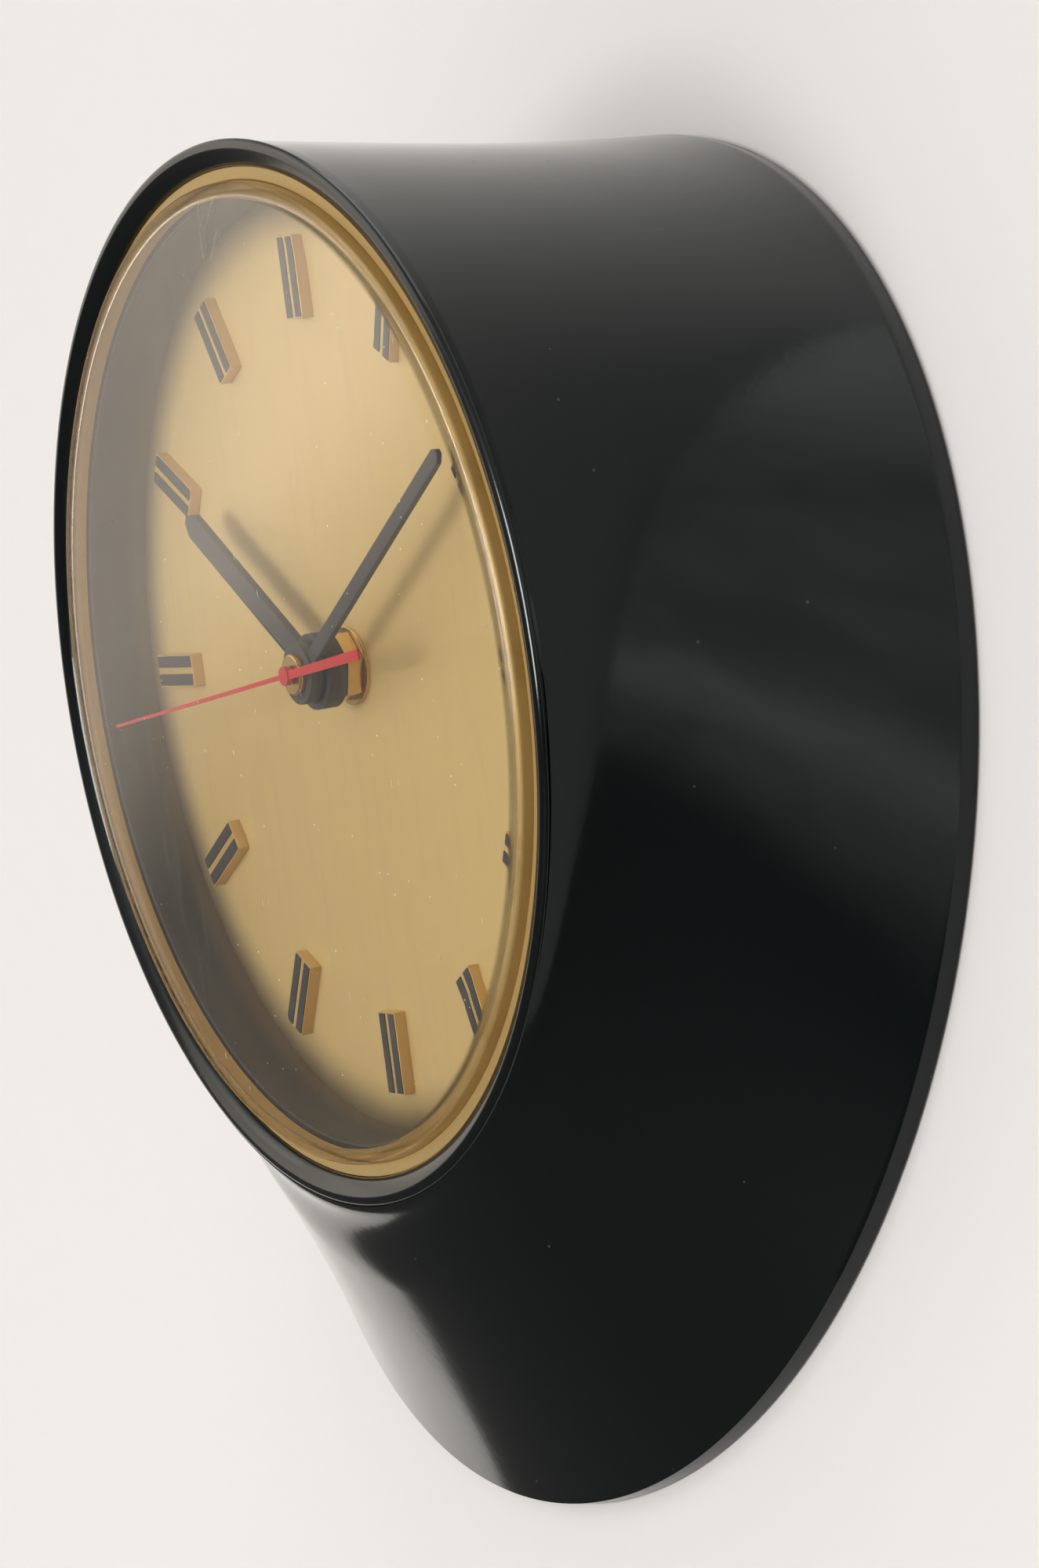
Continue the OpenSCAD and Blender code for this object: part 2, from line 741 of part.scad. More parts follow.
module wheel(n, m, at, drop, bore) {
    difference() {
        slab(drop, drop + wheel_t) gear_outline(n, m, at);
        tube(bore, drop - 1, drop + wheel_t + 1);
        rim = m * n / 2 - dedendum * m - wheel_rim;
        hub = bore + wheel_hub;
        // three round windows
        for (a = [0, 120, 240])
            rotate(a + 30) translate([(rim + hub) / 2, 0, 0])
                tube((rim - hub) / 2, drop - 1, drop + wheel_t + 1);
    }
}

module centre_wheel() {
    color([0.83, 0.68, 0.36])
    in_face() wheel(centre_n, centre_m, 180 + 180 / centre_n, centre_wheel_drop, minute_out);
}

module second_hand() {
    blade_front = second_hub_front + (second_hub_l - second_t) / 2;
    neck = second_hub_r / 2;
    color([0.80, 0.10, 0.08])
    in_face() difference() {
        union() {
            tube(second_hub_r, second_hub_front, second_hub_back);
            rotate(-second_at) slab(blade_front, blade_front + second_t)
                polygon([[-second_w / 2, 0], [-second_w * 0.3, second_l], [second_w * 0.3, second_l],
                         [second_w / 2, 0], [tail_w * 0.4, -neck], [tail_w / 2, -second_tail],
                         [-tail_w / 2, -second_tail], [-tail_w * 0.4, -neck]]);
        }
        tube(seconds_r, second_hub_front + second_cap, second_hub_back + 1);
    }
}

module seconds_arbor() {
    color([0.75, 0.76, 0.78])
    in_face() {
        tube(seconds_r, second_hub_front + second_cap, plate_back + pivot_out);
        slab(third_wheel_drop - pinion_over, third_wheel_drop + wheel_t + pinion_over)
            gear_outline(seconds_pinion_n, third_m, 180);
    }
}

module index_wheel() {
    color([0.86, 0.74, 0.45])
    in_face() difference() {
        slab(index_wheel_drop, index_wheel_drop + index_t)
            polygon([for (k = [0 : index_n - 1]) for (j = [0, 1])
                (j == 0 ? index_r : index_r - tooth_h)
                    * [cos((k + 0.15 * j) * 360 / index_n), sin((k + 0.15 * j) * 360 / index_n)]]);
        tube(seconds_r, index_wheel_drop - 1, index_wheel_drop + index_t + 1);
        for (a = [0, 90, 180, 270])
            rotate(a) translate([index_r * 0.52, 0, 0])
                tube(index_r * 0.28, index_wheel_drop - 1, index_wheel_drop + index_t + 1);
    }
}

// ---- movement frame ----

module plate_outline() {
    rounded_plate(plate_left, plate_right, plate_bottom, plate_top, plate_round);
}

// Holes that both plates have, for the pivots
module pivot_holes(from, to) {
    translate(third_at) tube(arbor_r + run, from, to);
    translate(balance_at) tube(staff_r + run, from, to);
    translate(setting_at) tube(setting_r + run, from, to);
}

module front_plate() {
    color([0.80, 0.68, 0.38])
    in_face() difference() {
        slab(plate_front, plate_inner) plate_outline();
        tube(bush_r, plate_front - 1, plate_inner + 1);
        pivot_holes(plate_front - 1, plate_inner + 1);
        translate(minute_stud_at) tube(stud_r, plate_front - 1, plate_inner + 1);
        for (p = pillar_at) translate(p) tube(rivet_r, plate_front - 1, plate_inner + 1);
    }
}

module back_plate() {
    color([0.80, 0.68, 0.38])
    in_face() difference() {
        slab(plate_far, plate_back) plate_outline();
        tube(seconds_r + run, plate_far - 1, plate_back + 1);
        pivot_holes(plate_far - 1, plate_back + 1);
        for (p = concat(pillar_at, board_foot_at))
            translate(p) tube(screw_r + screw_gap, plate_far - 1, plate_back + 1);
    }
}

module plate_pillars() {
    color([0.83, 0.70, 0.40])
    in_face() for (p = pillar_at) translate(p) difference() {
        union() {
            tube(rivet_r, plate_front, plate_inner);
            tube(pillar_r, plate_inner, plate_far);
        }
        tube(screw_r, plate_far - screw_in, plate_far + 1);
    }
}

module minute_stud() {
    stud_end = minute_wheel_drop + wheel_t + play;
    color([0.75, 0.76, 0.78])
    in_face() translate(minute_stud_at) {
        tube(stud_r, plate_front, stud_end);
        tube(stud_r + stud_head_w, stud_end, stud_end + stud_head_t);
    }
}

module minute_wheel() {
    pinion_front = plate_inner + hub_gap;
    color([0.83, 0.68, 0.36])
    in_face() translate(minute_stud_at) difference() {
        union() {
            slab(pinion_front, minute_wheel_drop)
                gear_outline(minute_pinion_n, hour_m, minute_stud_turn + 180);
            slab(minute_wheel_drop, minute_wheel_drop + wheel_t)
                gear_outline(minute_n, cannon_m, minute_stud_turn + 180 + 180 / minute_n);
        }
        tube(stud_r + run, pinion_front - 1, minute_wheel_drop + wheel_t + 1);
    }
}

module third_wheel() {
    color([0.83, 0.68, 0.36])
    in_face() translate(third_at)
        wheel(third_n, third_m, 180 / third_n, third_wheel_drop, arbor_r);
}

module third_arbor() {
    color([0.75, 0.76, 0.78])
    in_face() translate(third_at) {
        tube(arbor_r, plate_front + pivot_out, plate_back + pivot_out);
        slab(centre_wheel_drop - pinion_over, centre_wheel_drop + wheel_t + pinion_over)
            gear_outline(third_pinion_n, centre_m, 0);
    }
}

module setting_arbor() {
    color([0.75, 0.76, 0.78])
    in_face() translate(setting_at) {
        tube(setting_r, plate_front + pivot_out, knob_front + knob_seat);
        slab(minute_wheel_drop - pinion_over / 2, minute_wheel_drop + wheel_t + pinion_over / 2)
            gear_outline(cannon_n, cannon_m, setting_turn + 180);
    }
}

module setting_knob() {
    color([0.12, 0.12, 0.125])
    in_face() translate(setting_at) difference() {
        tube(knob_r, knob_front, knob_front + knob_l);
        tube(setting_r, knob_front - 1, knob_front + knob_seat);
        for (k = [0 : groove_n - 1])
            rotate(k * 360 / groove_n) translate([knob_r + groove_r / 2, 0, 0])
                tube(groove_r, knob_front + groove_r, knob_front + knob_l + 1);
    }
}

// ---- balance ----

module balance_disc(from) {
    difference() {
        tube(balance_r, from, from + disc_t);
        for (side = [-1, 1])
            translate([side * pin_ring_r, 0, 0]) tube(balance_r * 0.26, from - 1, from + disc_t + 1);
    }
}

module balance_wheel() {
    color([0.55, 0.56, 0.58])
    in_face() translate(balance_at) difference() {
        union() {
            balance_disc(balance_front);
            balance_disc(balance_back);
            tube(balance_hub_r, balance_front, balance_end);
        }
        tube(staff_r, balance_front - 1, balance_end + 1);
    }
}

module balance_staff() {
    color([0.75, 0.76, 0.78])
    in_face() translate(balance_at) {
        tube(staff_r, plate_front + pivot_out, plate_back + pivot_out);
        tube(spring_in, spring_drop - spring_over, spring_drop + spring_h + spring_over);
    }
}

// Magnets face the coils. The weights opposite them poise the balance
module balance_pairs(turns) {
    in_face() translate(balance_at) for (a = turns)
        rotate(a) translate([magnet_ring_r, 0, 0]) {
            tube(magnet_r, balance_front + disc_t, balance_front + disc_t + magnet_t);
            tube(magnet_r, balance_back - magnet_t, balance_back);
        }
}

module balance_magnets() {
    color([0.35, 0.36, 0.38])
    balance_pairs(magnet_turns);
}

module balance_weights() {
    color([0.83, 0.68, 0.36])
    balance_pairs([for (a = magnet_turns) a + 180]);
}

module impulse_pin() {
    color([0.75, 0.2, 0.2])
    in_face() translate(balance_at + [0, pin_ring_r])
        tube(pin_r, index_wheel_drop - pin_over, balance_front);
}

// Flat spiral from the staff's collet to its stud
module hairspring() {
    step = 15;
    span = spring_out - spring_in - spring_w / 2;
    turn_end = 360 * spring_turns;
    function wind(a, side) =
        (spring_in + spring_w / 2 + span * a / turn_end + side * spring_w / 2) * [cos(a), sin(a)];
    color([0.35, 0.42, 0.62])
    in_face() translate(balance_at) slab(spring_drop, spring_drop + spring_h)
        polygon(concat([for (a = [0 : step : turn_end]) wind(a, 1)],
                       [for (a = [turn_end : -step : 0]) wind(a, -1)]));
}

module hairspring_stud() {
    color([0.83, 0.70, 0.40])
    in_face() translate(balance_at + [spring_out + spring_w + pin_gap / 2 + stud_post_r, 0])
        tube(stud_post_r, plate_inner, spring_drop + spring_h);
}

module circuit_board() {
    color([0.45, 0.30, 0.14])
    in_face() difference() {
        union() {
            block(board_x, board_y, board_front, board_back);
            block([-coil_r - board_edge, coil_r + board_edge], [board_y[1] - 1, coil_at[1] + coil_r],
                  board_front, board_back);
        }
        for (p = board_foot_at) translate(p) tube(screw_r + screw_gap, board_front - 1, board_back + 1);
    }
}

module drive_coils() {
    color([0.60, 0.28, 0.10])
    in_face() translate(coil_at) {
        tube(coil_r, coil_front, board_front, coil_bore_r);
        tube(coil_r, board_back, coil_back, coil_bore_r);
    }
}

module transistor() {
    color([0.70, 0.71, 0.73])
    in_face() translate([board_x[1] - transistor_r - board_edge, board_y[1] - transistor_r - board_edge])
        tube(transistor_r, board_front - transistor_l, board_front);
}

module capacitor() {
    color([0.15, 0.25, 0.55])
    in_face() translate([board_x[0] + board_edge, board_y[1] - capacitor_r - board_edge,
                         -board_front + capacitor_r])
        rotate([0, 90, 0]) cylinder(r = capacitor_r, h = capacitor_l);
}

module board_feet() {
    color([0.83, 0.70, 0.40])
    in_face() for (p = board_foot_at) translate(p) {
        tube(foot_r, board_back, plate_far);
        tube(screw_r, board_front, board_back);
        tube(foot_r, board_front - foot_head_t, board_front);
        tube(screw_r, plate_far, plate_back);
    }
}

// ---- housing and battery ----

module housing_screw_places() {
    for (p = pillar_at) translate(p) children();
}

module movement_housing() {
    wall = housing_t;
    slot = contact_t + cell_fit;
    color([0.16, 0.15, 0.14])
    in_face() difference() {
        union() {
            block([-box_left - wall, box_right + wall], [-box_bottom - wall, box_top + wall],
                  housing_front, housing_back);
            block([cell_x - bay_half - wall, cell_x + bay_half + wall],
                  [cell_y - cell_r - cell_fit - wall, -box_bottom - wall / 2], bay_front - wall, bay_back);
        }
        difference() {
            block([-box_left, box_right], [-box_bottom, box_top], housing_front - 1, housing_seat);
            housing_screw_places() tube(pillar_r + screw_gap * 10, plate_back, housing_back);
        }
        block([cell_x - bay_half, cell_x + bay_half],
              [cell_y - cell_r - cell_fit, cell_y + cell_r + cell_fit], bay_front, bay_back + 1);
        housing_screw_places() tube(screw_r + screw_gap, plate_back - 1, housing_back + 1);
        translate(setting_at) tube(setting_r + knob_gap, housing_seat - 1, housing_back + 1);
        for (side = [-1, 1])
            translate([cell_x + side * (bay_half - contact_t / 2), 0])
                block([-slot / 2 - contact_t / 2, slot / 2 + contact_t / 2],
                      [-box_bottom - wall - 1, -box_bottom + 1],
                      board_front - contact_w / 2, board_back + contact_w / 2);
    }
}

module housing_screws() {
    color([0.7, 0.7, 0.71])
    in_face() housing_screw_places() screw(plate_far - screw_in + screw_end, housing_back);
}

module battery_cell() {
    color([0.75, 0.55, 0.20])
    in_face() translate([cell_x - cell_l / 2, cell_y, -cell_drop]) rotate([0, 90, 0]) {
        cylinder(r = cell_r, h = cell_l - nub_l);
        cylinder(r = nub_r, h = cell_l);
    }
}

// Contact strip from the battery bay up to the circuit board. side is -1 on the left, 1 on the right
module contact_strip(side) {
    at = cell_x + side * (bay_half - contact_t / 2);
    foot = side > 0 ? [board_x[1] - contact_lap, at + contact_t / 2]
                    : [at - contact_t / 2, board_x[0] + contact_lap];
    mid = (board_front + board_back) / 2;
    block([at - contact_t / 2, at + contact_t / 2], [cell_y - contact_h, cell_y + contact_h],
          cell_drop - contact_h, cell_drop + contact_w / 2);
    block([at - contact_t / 2, at + contact_t / 2], [cell_y, board_y[0] - contact_t],
          mid - contact_w / 2, mid + contact_w / 2);
    block(foot, [board_y[0] - contact_t, board_y[0]], mid - contact_w / 2, mid + contact_w / 2);
}

module contact_spring() {
    // a bowed tongue presses on the battery's flat end
    at = cell_x - bay_half + contact_t;
    reach = cell_x - cell_l / 2 - at;
    color([0.72, 0.72, 0.70])
    in_face() {
        contact_strip(-1);
        translate([at, cell_y, -cell_drop - contact_w / 2]) linear_extrude(contact_w)
            polygon([[0, contact_h], [0, contact_h - contact_t], [reach - contact_t, contact_t],
                     [reach - contact_t, -contact_t], [contact_t, -contact_h * 0.55],
                     [2 * contact_t, -contact_h * 0.6], [reach, -contact_t * 1.5],
                     [reach, contact_t * 1.5]]);
    }
}

module contact_plate() {
    at = cell_x + bay_half - contact_t;
    boss_l = contact_room - contact_t;
    color([0.72, 0.72, 0.70])
    in_face() {
        contact_strip(1);
        translate([at - boss_l, cell_y, -cell_drop]) rotate([0, 90, 0]) cylinder(r = nub_r, h = boss_l);
    }
}

// ---- hanging ----

module hanger_plate() {
    plate_z = [keyhole_z - keyhole_r - hang_edge, hang_z + hang_top];
    color([0.66, 0.67, 0.68])
    difference() {
        translate([-hang_w / 2, -hang_front, plate_z[0]])
            cube([hang_w, hang_t, plate_z[1] - plate_z[0]]);
        translate([0, 1, keyhole_z]) rotate([90, 0, 0]) cylinder(r = keyhole_r, h = hang_t + 3);
        translate([0, 1, keyslot_z]) rotate([90, 0, 0]) cylinder(r = keyslot_r, h = hang_t + 3);
        translate([-keyslot_r, -hang_front - 1, keyhole_z])
            cube([2 * keyslot_r, hang_t + 3, keyslot_z - keyhole_z]);
        hang_places() {
            cylinder(r = screw_r + screw_gap, h = hang_front + 1);
            cylinder(r = screw_head_r + screw_gap, h = hang_off + hang_head_t);
        }
    }
}

module hanger_screws() {
    color([0.7, 0.7, 0.71])
    hang_places() {
        translate([0, 0, hang_off]) cylinder(r = screw_head_r, h = hang_head_t);
        translate([0, 0, hang_off]) cylinder(r = screw_r, h = hang_t + hang_boss_l - screw_end * 4);
    }
}

case_shell();
dial_tube();
bezel_ring();
crystal();
dial_plate();
hour_markers();
marker_inlays();
dial_clamp_ring();
clamp_screws();
dial_washer();
dial_nut();
centre_bush();
liner_washer();
front_plate();
back_plate();
plate_pillars();
minute_stud();
circuit_board();
drive_coils();
transistor();
capacitor();
board_feet();
hairspring_stud();
movement_housing();
housing_screws();
battery_cell();
contact_spring();
contact_plate();
hanger_plate();
hanger_screws();
hour_hand();
hour_wheel();
minute_hand();
minute_cap();
minute_arbor();
centre_wheel();
second_hand();
seconds_arbor();
index_wheel();
third_wheel();
third_arbor();
minute_wheel();
setting_arbor();
setting_knob();
balance_wheel();
balance_staff();
balance_magnets();
balance_weights();
impulse_pin();
hairspring();
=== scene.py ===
import json
import math
import bpy
import bmesh
from mathutils import Matrix, Vector


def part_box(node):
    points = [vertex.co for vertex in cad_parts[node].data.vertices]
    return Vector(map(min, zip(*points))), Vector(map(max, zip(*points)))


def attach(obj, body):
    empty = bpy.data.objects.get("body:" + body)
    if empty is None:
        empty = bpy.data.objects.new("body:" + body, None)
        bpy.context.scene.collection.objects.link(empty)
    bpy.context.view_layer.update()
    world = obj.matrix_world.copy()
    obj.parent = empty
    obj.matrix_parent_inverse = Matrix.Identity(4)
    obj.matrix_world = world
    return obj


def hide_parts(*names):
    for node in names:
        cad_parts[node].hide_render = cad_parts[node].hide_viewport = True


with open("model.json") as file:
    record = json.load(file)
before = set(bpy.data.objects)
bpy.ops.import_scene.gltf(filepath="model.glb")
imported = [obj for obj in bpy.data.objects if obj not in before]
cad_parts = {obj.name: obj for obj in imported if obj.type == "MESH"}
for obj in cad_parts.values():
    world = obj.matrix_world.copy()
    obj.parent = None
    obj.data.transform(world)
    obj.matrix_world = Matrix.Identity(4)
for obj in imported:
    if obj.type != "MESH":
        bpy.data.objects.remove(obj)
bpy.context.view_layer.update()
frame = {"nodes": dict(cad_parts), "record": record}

nodes = frame["nodes"]
record = frame["record"]
print("frame loaded")

# where things are, in metres: everything hangs on the dial's axis
joints = {j["name"]: j for j in record["behaviour"]["joints"]}
inwards = Vector(joints["second_spin"]["axis"]).normalized()  # window to wall, square to the dial
tilt = math.atan2(inwards.z, inwards.y)
across = Vector((1, 0, 0))
upwards = Vector((0, -math.sin(tilt), math.cos(tilt)))  # towards twelve


def boxMiddle(node):
    low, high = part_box(node)
    return (Vector(low) + Vector(high)) / 2


def boxWidth(node):
    low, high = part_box(node)
    return high[0] - low[0]


ringDrop = 0.0024  # middle of the bezel ring behind the rim's plane
plateThick = 0.001  # the dial's plate
faceMiddle = boxMiddle("bezel_ring") - inwards * ringDrop
dialDrop = (boxMiddle("dial_plate") - faceMiddle).dot(inwards) - plateThick / 2  # the dial's front


def facePoint(x, y, drop):
    return faceMiddle + across * x + upwards * y + inwards * drop


class Wire:
    # one socket of a node tree, with the usual sums

    def __init__(self, tree, socket=None):
        self.tree = tree
        self.socket = socket

    def node(self, kind, settings=None, sockets=None, out=0):
        made = self.tree.nodes.new("ShaderNode" + kind)
        for key, value in (settings or {}).items():
            setattr(made, key, value)
        for key, value in (sockets or {}).items():
            if isinstance(value, Wire):
                self.tree.links.new(value.socket, made.inputs[key])
            else:
                made.inputs[key].default_value = value
        return Wire(self.tree, made.outputs[out]) if len(made.outputs) else None

    def other(self, out):
        # another output of the node that this one comes from
        return Wire(self.tree, self.socket.node.outputs[out])

    def maths(self, operation, first, second=0.0, clamp=False):
        return self.node("Math", {"operation": operation, "use_clamp": clamp}, {0: first, 1: second})

    def __add__(self, other):
        return self.maths("ADD", self, other)

    __radd__ = __add__

    def __sub__(self, other):
        return self.maths("SUBTRACT", self, other)

    def __rsub__(self, other):
        return self.maths("SUBTRACT", other, self)

    def __mul__(self, other):
        return self.maths("MULTIPLY", self, other)

    __rmul__ = __mul__

    def __lt__(self, other):
        return self.maths("LESS_THAN", self, other)

    def __gt__(self, other):
        return self.maths("GREATER_THAN", self, other)

    def clamped(self):
        return self.maths("ADD", self, 0.0, clamp=True)

    def step(self, low, high):
        # a soft step from 0 at low to 1 at high
        return self.node("MapRange", {"interpolation_type": "SMOOTHSTEP"},
                         {0: self, 1: low, 2: high, 3: 0.0, 4: 1.0})

    def mix(self, first, second):
        # a colour between two, by this value
        return self.node("Mix", {"data_type": "RGBA"}, {0: self, 6: first, 7: second}, out=2)


def newMaterial(name):
    material = bpy.data.materials.new(name)
    material.use_nodes = True
    material.node_tree.nodes.clear()
    return material, Wire(material.node_tree)


def finishMaterial(material, pad, shader):
    pad.node("OutputMaterial", {}, {"Surface": shader})
    return material


def rgb(r, g, b):
    return (r, g, b, 1.0)


def place(pad):
    # coordinates that move with the piece
    return pad.node("TexCoord", out=3)


def noise(pad, vector, scale, detail=3.0, roughness=0.5, distortion=0.0):
    return pad.node("TexNoise", {}, {"Vector": vector, "Scale": scale, "Detail": detail,
                                     "Roughness": roughness, "Distortion": distortion})


def fromFace(pad, vector):
    return pad.node("VectorMath", {"operation": "SUBTRACT"}, {0: vector, 1: tuple(faceMiddle)})


def along(pad, vector, direction):
    # distance along a direction, from the middle of the face
    moved = fromFace(pad, vector)
    return pad.node("VectorMath", {"operation": "DOT_PRODUCT"}, {0: moved, 1: tuple(direction)}, out=1)


def fromAxis(pad, vector):
    # distance from the dial's axis
    moved = fromFace(pad, vector)
    turned = pad.node("VectorMath", {"operation": "CROSS_PRODUCT"}, {0: moved, 1: tuple(inwards)})
    return pad.node("VectorMath", {"operation": "LENGTH"}, {0: turned}, out=1)


def stretched(pad, vector, scales, turn=(0.0, 0.0, 0.0)):
    return pad.node("Mapping", {"vector_type": "POINT"},
                    {"Vector": vector, "Rotation": turn, "Scale": scales})


def bump(pad, height, strength, distance, under=None):
    sockets = {"Height": height, "Strength": strength, "Distance": distance}
    if under is not None:
        sockets["Normal"] = under
    return pad.node("Bump", {}, sockets)


def cells(pad, vector, scale):
    return pad.node("TexVoronoi", {"feature": "F1"}, {"Vector": vector, "Scale": scale, "Randomness": 1.0})


def hairScratches(pad, vector, count, turn, thin, least):
    # sparse straight hairlines: a thin line through some cells of a stretched cell pattern
    cell = cells(pad, stretched(pad, vector, (count, count, count * 0.12), turn), 1.0)
    chosen = pad.node("TexWhiteNoise", {"noise_dimensions": "3D"}, {"Vector": cell.other(2)})
    return (cell < thin) * (chosen > least)


def specks(pad, vector, count, size, share):
    # a dot in some cells
    spot = cells(pad, vector, count)
    chosen = pad.node("SeparateColor", {}, {0: spot.other(1)})
    return (spot < size) * (chosen < share)


# the tube round the dial is matt and turns brown towards the dial, a painted reflection of the gold dial; its
# places are drops behind the rim
blackCase = {"colour": rgb(0.0030, 0.0046, 0.0048), "dust": rgb(0.07, 0.07, 0.065), "shine": 0.075,
             "tint": rgb(0.93, 1.0, 0.99),
             "tubeFrom": 0.0042, "tubeMatt": 0.4, "tube": rgb(0.030, 0.026, 0.022),
             "dialReflectionFrom": (0.011, 0.0165), "dialReflection": rgb(0.13, 0.085, 0.04)}
tubeReach = boxWidth("bezel_ring") / 2 - 0.0052  # just outside the inner face of the tube


def makeBlackCase():
    material, pad = newMaterial("glossyBlackCase")
    at = place(pad)
    cloud = noise(pad, at, 9.0, 3.0, 0.5, 0.6)
    grain = noise(pad, at, 260.0, 2.0)
    dust = specks(pad, at, 170.0, 0.05, 0.2)
    scratch = hairScratches(pad, at, 90.0, (0.5, 0.3, 0.9), 0.035, 0.86)
    depth = along(pad, at, inwards)
    inTube = (fromAxis(pad, at) < tubeReach) * (depth > blackCase["tubeFrom"])
    # painted reflection of the gold dial: the tube's wall turns brown towards the dial
    tube = depth.step(*blackCase["dialReflectionFrom"]).mix(blackCase["tube"], blackCase["dialReflection"])
    gloss = (dust * 0.6 + scratch * 0.25).clamped().mix(blackCase["colour"], blackCase["dust"])
    rough = blackCase["shine"] + cloud * 0.07 + grain * 0.02 + dust * 0.3 + scratch * 0.12
    wave = bump(pad, noise(pad, at, 16.0, 2.0), 0.10, 0.004)
    skin = bump(pad, noise(pad, at, 420.0, 2.0), 0.035, 0.0004, wave)
    shader = pad.node("BsdfPrincipled", {}, {"Base Color": inTube.mix(gloss, tube),
                                             "Roughness": rough + inTube * blackCase["tubeMatt"],
                                             "IOR": 1.5, "Normal": skin, "Specular Tint": blackCase["tint"],
                                             "Coat Weight": 0.15, "Coat Roughness": 0.08})
    return finishMaterial(material, pad, shader)


# painted shade darkens the dial towards its edge, between these two distances from its middle
goldDial = {"colour": rgb(0.66, 0.475, 0.20), "worn": rgb(0.58, 0.415, 0.165), "shine": 0.36, "metallic": 0.4,
            "edgeShadeFrom": (0.0785, 0.0912), "edgeShadeShare": 0.95, "edge": rgb(0.05, 0.036, 0.022)}
goldRing = {"colour": rgb(0.60, 0.42, 0.17), "worn": rgb(0.50, 0.34, 0.13), "shine": 0.34, "metallic": 0.35}
goldMarker = {"colour": rgb(0.68, 0.46, 0.17), "worn": rgb(0.54, 0.36, 0.12), "shine": 0.30, "metallic": 0.5}


def makeSatinGold(name, gold):
    material, pad = newMaterial(name)
    at = place(pad)
    cloud = noise(pad, at, 14.0, 4.0, 0.55, 0.4)
    grain = noise(pad, at, 1500.0, 2.0)
    brush = noise(pad, stretched(pad, at, (2600.0, 60.0, 60.0)), 1.0, 2.0)
    tone = (cloud * 0.7 + grain * 0.3).clamped().mix(gold["colour"], gold["worn"])
    # painted shade: the dial turns dark towards its edge beside the tube's wall
    if "edge" in gold:
        tone = (fromAxis(pad, at).step(*gold["edgeShadeFrom"]) * gold["edgeShadeShare"]).mix(tone, gold["edge"])
    rough = gold["shine"] + cloud * 0.06 + grain * 0.06
    fine = bump(pad, grain + brush * 0.6, 0.08, 0.00015)
    shader = pad.node("BsdfPrincipled", {}, {"Base Color": tone, "Metallic": gold["metallic"],
                                             "Roughness": rough, "Normal": fine})
    return finishMaterial(material, pad, shader)


def makeMetal(name, colour, dull, shine, grain=900.0, depth=0.06, brush=None):
    # plain or brushed metal with a little tarnish
    material, pad = newMaterial(name)
    at = place(pad)
    cloud = noise(pad, at, 60.0, 4.0, 0.55, 0.3)
    fine = noise(pad, at if brush is None else stretched(pad, at, brush), 1.0 if brush else grain, 2.0)
    tone = (cloud * 1.4 - 0.35).clamped().mix(colour, dull)
    rough = shine + cloud * 0.10 + fine * 0.06
    shader = pad.node("BsdfPrincipled", {}, {"Base Color": tone, "Metallic": 1.0, "Roughness": rough,
                                             "Normal": bump(pad, fine, depth, 0.0001)})
    return finishMaterial(material, pad, shader)


def makePlastic(name, colour, worn, shine, grain=700.0, depth=0.12, metallic=0.0):
    # moulded or painted surface with fine grain and a little handling wear
    material, pad = newMaterial(name)
    at = place(pad)
    cloud = noise(pad, at, 35.0, 4.0, 0.6, 0.5)
    fine = noise(pad, at, grain, 2.0)
    tone = (cloud * 1.5 - 0.45).clamped().mix(colour, worn)
    rough = shine + cloud * 0.12 + fine * 0.05
    shader = pad.node("BsdfPrincipled", {}, {"Base Color": tone, "Roughness": rough, "Metallic": metallic,
                                             "Normal": bump(pad, fine, depth, 0.0001)})
    return finishMaterial(material, pad, shader)


# rim: the rounded edge, by distance from the axis; skirt: its side, by drop, which carries a painted
# reflection of the gold ring
# marks: scratches on the front, each from one point of the face to another, with its width
clearCrystal = {"tint": rgb(0.985, 0.985, 0.975), "rim": (0.0888, 0.0902), "rimMatt": 0.16, "rimOpen": 0.5,
                "front": -0.0009, "skirt": (-0.0009, 0.0004), "reflectedGoldShare": 0.7,
                "gold": rgb(0.52, 0.33, 0.10), "reflectedGoldShine": 0.4, "reflectedGoldMetallic": 0.3,
                "film": rgb(0.75, 0.72, 0.66), "smears": 0.03, "dull": 0.2,
                "marks": [((-0.0058, 0.0843), (-0.0055, 0.0788), 0.00016),
                          ((0.0015, 0.0835), (-0.0026, 0.0782), 0.00014),
                          ((-0.0049, 0.0895), (-0.0054, 0.0846), 0.00008),
                          ((0.0011, 0.0890), (-0.0029, 0.0847), 0.00008)]}


def stroke(pad, vector, start, end, width):
    # 1 along a straight line on the face, 0 elsewhere
    run = (end[0] - start[0], end[1] - start[1])
    length = math.hypot(*run)
    x, y = along(pad, vector, across) - start[0], along(pad, vector, upwards) - start[1]
    forth = x * (run[0] / length) + y * (run[1] / length)
    aside = x * (run[1] / length) - y * (run[0] / length)
    return (aside.maths("ABSOLUTE", aside) < width) * (forth > 0.0) * (forth < length)


